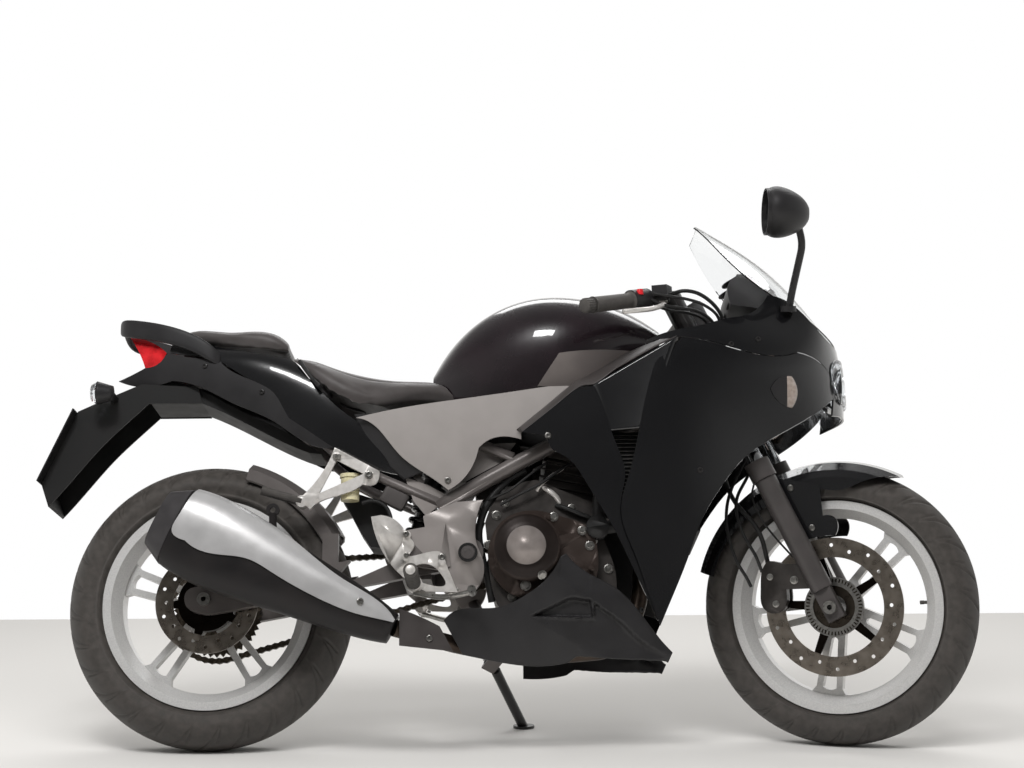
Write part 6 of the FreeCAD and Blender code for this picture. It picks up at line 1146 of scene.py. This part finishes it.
# Hoses and cables: body, finish, radius, and a route of pixels with the distance from the middle
hoses = {
    "brake_hose_outer": ("steering", "hose_rubber", 3.6, (
        (751.2, 586.9, -100), (746.6, 577.8, -104), (735.9, 559.4, -108), (727.5, 531.8, -106), (726.7, 508.9, -98),
        (731.5, 489, -84), (742, 466, -70), (752, 448, -62))),
    "brake_hose_middle": ("steering", "hose_rubber", 3.6, (
        (762, 572, -98), (755.8, 556.3, -108), (743.6, 534.9, -110), (736.7, 513.5, -104), (737.5, 496.6, -92),
        (748.2, 475, -76), (757, 452, -62))),
    "sensor_wire": ("steering", "hose_rubber", 2.2, (
        (793, 557, -78), (775.7, 538, -90), (761.9, 519.6, -96), (752.5, 498.2, -92), (754, 484, -84),
        (760, 462, -66))),
    "engine_hose": ("chassis", "hose_rubber", 5.5, (
        (556, 505.5, -112), (565, 508, -122), (580, 514, -124), (591, 518.5, -120), (594, 524, -112),
        (592.5, 532, -100))),
    "clutch_cable": ("chassis", "hose_rubber", 3.2, (
        (500.2, 505, -128), (520, 494, -134), (538.4, 485, -134), (552, 475.5, -128), (566, 466, -118),
        (590, 452, -104), (612, 437, -92))),
    "cable_bracket": ("chassis", "bare_cast_alloy", 3.4, (
        (563, 468.5, -118), (551, 476, -124), (541, 485, -128), (537, 491, -122))),
    "water_pipe": ("chassis", "bare_cast_alloy", 6.0, (
        (541, 487, -104), (549, 491, -112), (556, 497, -112), (561, 506, -104))),
    "engine_wire": ("chassis", "hose_rubber", 2.6, (
        (487, 500, -112), (495, 497, -122), (510, 490, -128), (523, 480, -126), (536, 470, -120), (548, 462, -110))),
    "oil_pipe": ("chassis", "bare_cast_alloy", 3.6, (
        (601, 531, -104), (596, 541, -112), (590, 556, -114), (584, 566, -108), (580, 572, -100))),
    "master_hose": ("steering", "hose_rubber", 4.2, (
        (668, 296, -150), (682, 291, -156), (697, 293, -146), (711, 302, -128), (721, 315, -112), (724, 330, -100))),
    "throttle_cable_upper": ("steering", "hose_rubber", 3.4, (
        (652, 293, -196), (668, 296, -190), (686, 299, -172), (702, 304, -150), (716, 314, -130), (722, 328, -112))),
    "throttle_cable_lower": ("steering", "hose_rubber", 3.4, (
        (651, 299, -192), (664, 305, -186), (681, 308, -170), (697, 311, -150), (710, 319, -132), (718, 331, -116))),
    "switch_wire": ("steering", "hose_rubber", 3.0, (
        (648, 298, -178), (657, 306, -172), (672, 311, -158), (688, 313, -142), (703, 319, -126), (712, 331, -110))),
    "drain_hose": ("chassis", "hose_rubber", 8.0, (
        (525, 470, -104), (506, 482, -106), (487, 505, -106), (479, 531, -104), (482, 556, -102), (488, 580, -102),
        (492, 602, -100))),
    "pot_hose": ("chassis", "hose_rubber", 4.2, (
        (362, 503, -106), (370, 501, -108), (378.5, 502, -110), (386, 507, -112), (390, 515, -114),
        (391.5, 524, -118), (394, 536, -122))),
}
hoseSteps = 72
for name, (body, finishName, radius, route) in hoses.items():
    line = smoothLine([pixelOnSide(u, v, y, body) for u, v, y in route], hoseSteps)
    addPiece(name, [tubeMesh(line, radius)], finishName, body)
print("hoses")

# Lamp bowls behind the headlight's face, and the blank plate on its holder
bowl = {"centre": (1352.0, 52.0, 776.0), "radius": 42.0, "depth": 30.0, "wallMm": 0.8, "rows": 18, "sides": 48,
        "bulbSides": 24, "bulb": ((0, 24), (4.9, 22), (7.0, 17), (7.0, 2), (9.8, 0.5))}
plate = {"wide": 196.0, "high": 128.0, "thick": 1.2, "roundMm": 0.2, "sunkMm": 0.4, "corner": 8.0, "raisedMm": 4,
         "fromX": -700, "z": (600.0, 700.0), "points": 64}


def addBowls():
    # a parabola turned about a forward axis, open to the front, with a lamp bulb on its axis
    share, wall = np.linspace(0, 1, bowl["rows"]), bowl["wallMm"]
    inner = np.stack([bowl["radius"] * share, bowl["depth"] * share * share], -1)
    profile = np.vstack([inner, inner[:0:-1] + [wall, -wall], [(0, -wall)]])
    for name, rows, count in (("headlight_bowls", profile, bowl["sides"]),
                              ("headlight_bulbs", bowl["bulb"], bowl["bulbSides"])):
        parts = [revolveMesh(rows, np.array(bowl["centre"]) * [1, side, 1], (1, 0, 0), count) for side in (-1, 1)]
        addPiece(name, parts, "reflector_chrome", slot="headlight")


def addPlate():
    # on the plane of two places found on the holder from behind; its edge is the straight half by the sign of cos
    # and sin, plus the corner's radius times cos and sin
    ahead = places["chassis"][0] @ np.array([1.0, 0, 0])
    low, high = (fromRow(firstMet(toRow((plate["fromX"], 0, z), "chassis"), ahead)[0], "chassis")
                 for z in plate["z"])
    up, across = unit(high - low), np.array([0.0, 1.0, 0.0])
    out = facing(np.cross(across, up), np.array([-1.0, 0, 0]))
    centre = (low + high) / 2 + up * plate["raisedMm"]
    _, c, s = circle(plate["points"])
    half, corner, top = (plate["wide"] / 2, plate["high"] / 2), plate["corner"], plate["thick"]
    side, height = (np.sign(f) * (reach - corner) + corner * f for f, reach in zip((c, s), half))
    rows = ((0.0, -plate["sunkMm"]), (1.0, -plate["sunkMm"]), (1.0, top), (0.996, top + plate["roundMm"]),
            (0.0, top + plate["roundMm"]))
    grid = [centre + side[:, None] * r * across + height[:, None] * r * up + out * h for r, h in rows]
    faces = gridFaces(len(rows), plate["points"], closeColumns=True)
    addPiece("number_plate_blank", [(np.vstack(grid), faces)], "plate_white", slot="number_plate")


# Rubbers on the rider's pegs with a bare end, and the lips round the mirror glass
pegs = {"root": (448.0, -168.0, 331.3), "tip": (448.0, -287.0, 339.9), "radius": 15.5, "coreMm": 10.8, "end": 10.5,
        "ribs": 9, "grooveMm": 1.1, "bareMm": 2, "steps": 60, "sides": 40,
         "dome": ((1.0, -1.0), (1.0, 0.8), (0.8, 1.8), (0.35, 2.4), (0.0, 2.5))}
lips = {"centre": (1212.0, -292.0, 1104.0), "half": (66.6, 48.1), "points": 96,
        "rows": ((0, 0), (-7.9, 0), (-8.5, -0.7), (-8.5, -1.7), (-7.9, -2.4), (1.5, -2.4), (1.5, 0))}


def addPegRubbers():
    # a sleeve turned about the peg, its radius less a raised cosine to the fourth power, and a shallow dome
    for side, tag in bothSides:
        root, tip = np.array(pegs["root"]) * [1, side, 1], np.array(pegs["tip"]) * [1, side, 1]
        way = tip - root
        far = np.linalg.norm(way)
        at = np.linspace(0, far - pegs["bareMm"], pegs["steps"])
        wave = pegs["radius"] - pegs["grooveMm"] * (0.5 + 0.5 * np.cos(at / far * pegs["ribs"] * 2 * math.pi)) ** 4
        sleeve = [(pegs["coreMm"], 0.0)] + list(zip(wave, at)) + [(pegs["end"], far)]
        addPiece("peg_rubber_" + tag, [revolveMesh(sleeve, root, way, pegs["sides"])], "grip_rubber")
        dome = [(pegs["end"] * r, height) for r, height in pegs["dome"]]
        addPiece("peg_end_" + tag, [revolveMesh(dome, tip, way, pegs["sides"])], "bare_cast_alloy")


def addLips():
    # an ellipse carried through rows of (place along the machine, growth)
    _, c, s = circle(lips["points"])
    wide, high = lips["half"]
    grid = np.array([np.stack([0 * c + back, (wide + out) * c, (high + out) * s], -1) for back, out in lips["rows"]])
    faces = gridFaces(*grid.shape[:2], closeRows=True, closeColumns=True)
    for side, tag in bothSides:
        points = (grid.reshape(-1, 3) + lips["centre"]) * [1, side, 1]
        addPiece("mirror_lip_" + tag, [(points, faces)], "dark_moulded_abs")


addBowls()
addPlate()
addPegRubbers()
addLips()
print("bowls, plate, pegs and mirror lips")

# The bars' rubber and the stop switch
bars = {"inner": (1052.0, 95.0, 992.0), "outer": (922.0, 345.0, 950.0), "endMm": 26.0, "gripMm": 118.0,
        "gripRadius": 16.5, "endRadius": 15.0, "ringMm": 4.2, "ringHighMm": 0.35, "flareMm": (4.0, 1.2),
        "flareWideMm": 3.0, "ridges": 18, "ridgeShare": 0.03, "steps": 130, "sides": 40, "endSides": 108,
        "endProfile": ((-15, -1.2), (-3, -1.2), (0.8, 1.0), (0.8, 21), (-0.5, 23))}
stopSwitch = {"pixel": (640, 292), "sides": 20, "profile": ((7.5, -6.0), (7.5, 4.0), (6.5, 6.2), (0, 6.6))}


def endRidges(rows, angle):
    # lengthwise ridges: the sign of a sine round the bar end
    return np.repeat((1 + bars["ridgeShare"] * np.sign(np.sin(bars["ridges"] * angle)))[None], rows, 0)


def addGrips():
    # rings are a sine's upper half on the grip's radius, with a bell curve at each end
    parts, ends = [], []
    low, high = bars["endMm"], bars["endMm"] + bars["gripMm"]
    along = np.linspace(low + 0.5, high, bars["steps"])
    wave = bars["ringHighMm"] * np.clip(np.sin((along - low) * 2 * math.pi / bars["ringMm"]), 0, 1)
    inFlare, outFlare = (height * np.exp(-((along - place) / bars["flareWideMm"]) ** 2)
                         for height, place in zip(bars["flareMm"], (along[-1], along[0])))
    core = bars["gripRadius"] - 1
    radii = bars["gripRadius"] + 0.1 + wave + inFlare + outFlare
    sleeve = [(core, along[0])] + list(zip(radii, along)) + [(core, along[-1])]
    weight = [(bars["endRadius"] + r, height) for r, height in bars["endProfile"]]
    for side in (-1, 1):
        inner, outer = np.array(bars["inner"]) * [1, side, 1], np.array(bars["outer"]) * [1, side, 1]
        parts.append(revolveMesh(sleeve, outer, inner - outer, bars["sides"]))
        ends.append(revolveMesh(weight, outer, inner - outer, bars["endSides"], endRidges))
    addPiece("grip_sleeves", parts, "grip_rubber", "steering")
    addPiece("bar_end_weights", ends, "grip_rubber", "steering")


addGrips()
up = places["steering"][0] @ np.array([0, 0, 1.0])
button = revolveMesh(np.array(stopSwitch["profile"]) / 1000, metAtPixel(*stopSwitch["pixel"])[0], up,
                     stopSwitch["sides"])
addPiece("stop_switch", [button], "switch_red", "steering", metres=True)
print("bars")

# Dial faces with ticks and pointers, on the panel's two rounds
dials = {"centre": (1168.0, 40.0, 1008.0), "radius": 30.0, "leanShare": 0.35, "ticks": 25, "fromDeg": -220,
         "toDeg": 40, "pointerDeg": -150, "rim": ((1.5, -0.6), (1.5, 1.8), (0, 1.8), (-0.8, 0.5), (-30, 0.5)),
         "hub": ((3.0, 0.3), (3.0, 1.8), (0, 2.0)), "longEvery": 4, "tickMm": (5.0, 2.6), "tickSize": (0.7, 0.3),
         "insetMm": 2.5, "pointerSize": (26, 1.2, 0.5), "pointerOut": 8, "heights": (0.6, 1.2), "aboveMm": 60,
         "faceWay": (-0.3, 0, 1.0), "sides": 64, "hubSides": 20}


def metFromAbove(x, y):
    # the panel's surface met from above and behind, along its own lean
    down = unit([dials["leanShare"], 0, -1.0])
    aim = np.array([x, y, dials["centre"][2]])
    return firstMet(toRow(aim - down * dials["aboveMm"], "chassis"), places["chassis"][0] @ down)


def addDials():
    faces, marks, pointers = [], [], []
    turn, radius = places["chassis"][0], dials["radius"]
    tickAt, pointerAt = dials["heights"]
    for side in (-1, 1):
        met = metFromAbove(dials["centre"][0], side * dials["centre"][1])
        place, up = fromRow(met[0], "chassis"), facing(met[1], turn @ np.array(dials["faceWay"])) @ turn
        across = np.array([0.0, 1.0, 0.0])
        ahead = np.cross(across, up)

        def boxAt(degrees, out, height, size):
            # a box pointing outwards at one angle of the dial
            angle = math.radians(degrees)
            way = -math.cos(angle) * across + math.sin(angle) * -ahead
            return boxMesh(place + way * out + up * height, np.array(size), (way, np.cross(up, way), up))

        faces.append(revolveMesh([(radius + r, height) for r, height in dials["rim"]], place, up, dials["sides"]))
        for k in range(dials["ticks"]):
            degrees = dials["fromDeg"] + (dials["toDeg"] - dials["fromDeg"]) * k / (dials["ticks"] - 1)
            long = dials["tickMm"][1 if k % dials["longEvery"] else 0]
            out = radius - dials["insetMm"] - long / 2
            marks.append(boxAt(degrees, out, tickAt, (long,) + dials["tickSize"]))
        pointers.append(boxAt(dials["pointerDeg"], dials["pointerOut"], pointerAt, dials["pointerSize"]))
        pointers.append(revolveMesh(dials["hub"], place, up, dials["hubSides"]))
    for name, parts, finishName in (("dial_faces", faces, "dial_face"), ("dial_ticks", marks, "dial_white"),
                                    ("dial_pointers", pointers, "switch_red")):
        addPiece(name, parts, finishName, slot="instrument_panel")


addDials()
print("dials")

# The wheel-speed ring beside the front disc, and the valves
ring = {"side": -68.2, "thick": 1.2, "inner": (45.0, 52.5), "outer": (60.5, 63.5), "slots": 50, "tooth": 3.8,
        "lapMm": 1, "sides": 120}
valve = {"route": ((208, -4, 3), (200, -8, 3), (190, -14, 3), (176, -20, 3)),
         "steps": 24, "sides": 14, "radii": ((0, 7), (0.3, 4.6), (0.32, 3.6), (0.75, 3.6), (0.76, 4.2), (1, 4.2))}


def addSpeedRing():
    # two flat rings joined by teeth, each a box between them
    hub, low, high = np.array(stance["frontHubMm"]), ring["side"] - ring["thick"] / 2, ring["side"] + ring["thick"] / 2
    loops = [[(near, low), (near, high), (far, high), (far, low), (near, low)]
             for near, far in (ring["inner"], ring["outer"])]
    parts = [revolveMesh(loop, hub, (0, 1, 0), ring["sides"]) for loop in loops]
    _, c, s = circle(ring["slots"])
    out, side = np.stack([c, 0 * c, s], -1), np.stack([-s, 0 * c, c], -1) * ring["tooth"] / 2
    near, far = ring["inner"][1] - ring["lapMm"], ring["outer"][0] + ring["lapMm"]
    corners = [hub + out * reach + side * sign + [0, y, 0] for y in (low, high)
               for reach, sign in ((near, -1), (near, 1), (far, 1), (far, -1))]
    box = np.array([(0, 1, 2, 3), (7, 6, 5, 4), (0, 4, 5, 1), (1, 5, 6, 2), (2, 6, 7, 3), (3, 7, 4, 0)])
    faces = (np.arange(ring["slots"])[:, None, None] * 8 + box).reshape(-1, 4)
    parts.append((np.stack(corners, 1).reshape(-1, 3), faces))
    addPiece("wheel_speed_ring", parts, "zinc_steel", "front_wheel")


addSpeedRing()
for body, hub in (("front_wheel", stance["frontHubMm"]), ("rear_wheel", stance["rearHubMm"])):
    line = smoothLine(np.array(valve["route"]) + hub, valve["steps"])
    radii = np.interp(np.linspace(0, 1, valve["steps"]), *np.array(valve["radii"]).T)
    addPiece(body + "_valve", [tubeMesh(line, radii, valve["sides"])], "grip_rubber", body)
print("wheel details")
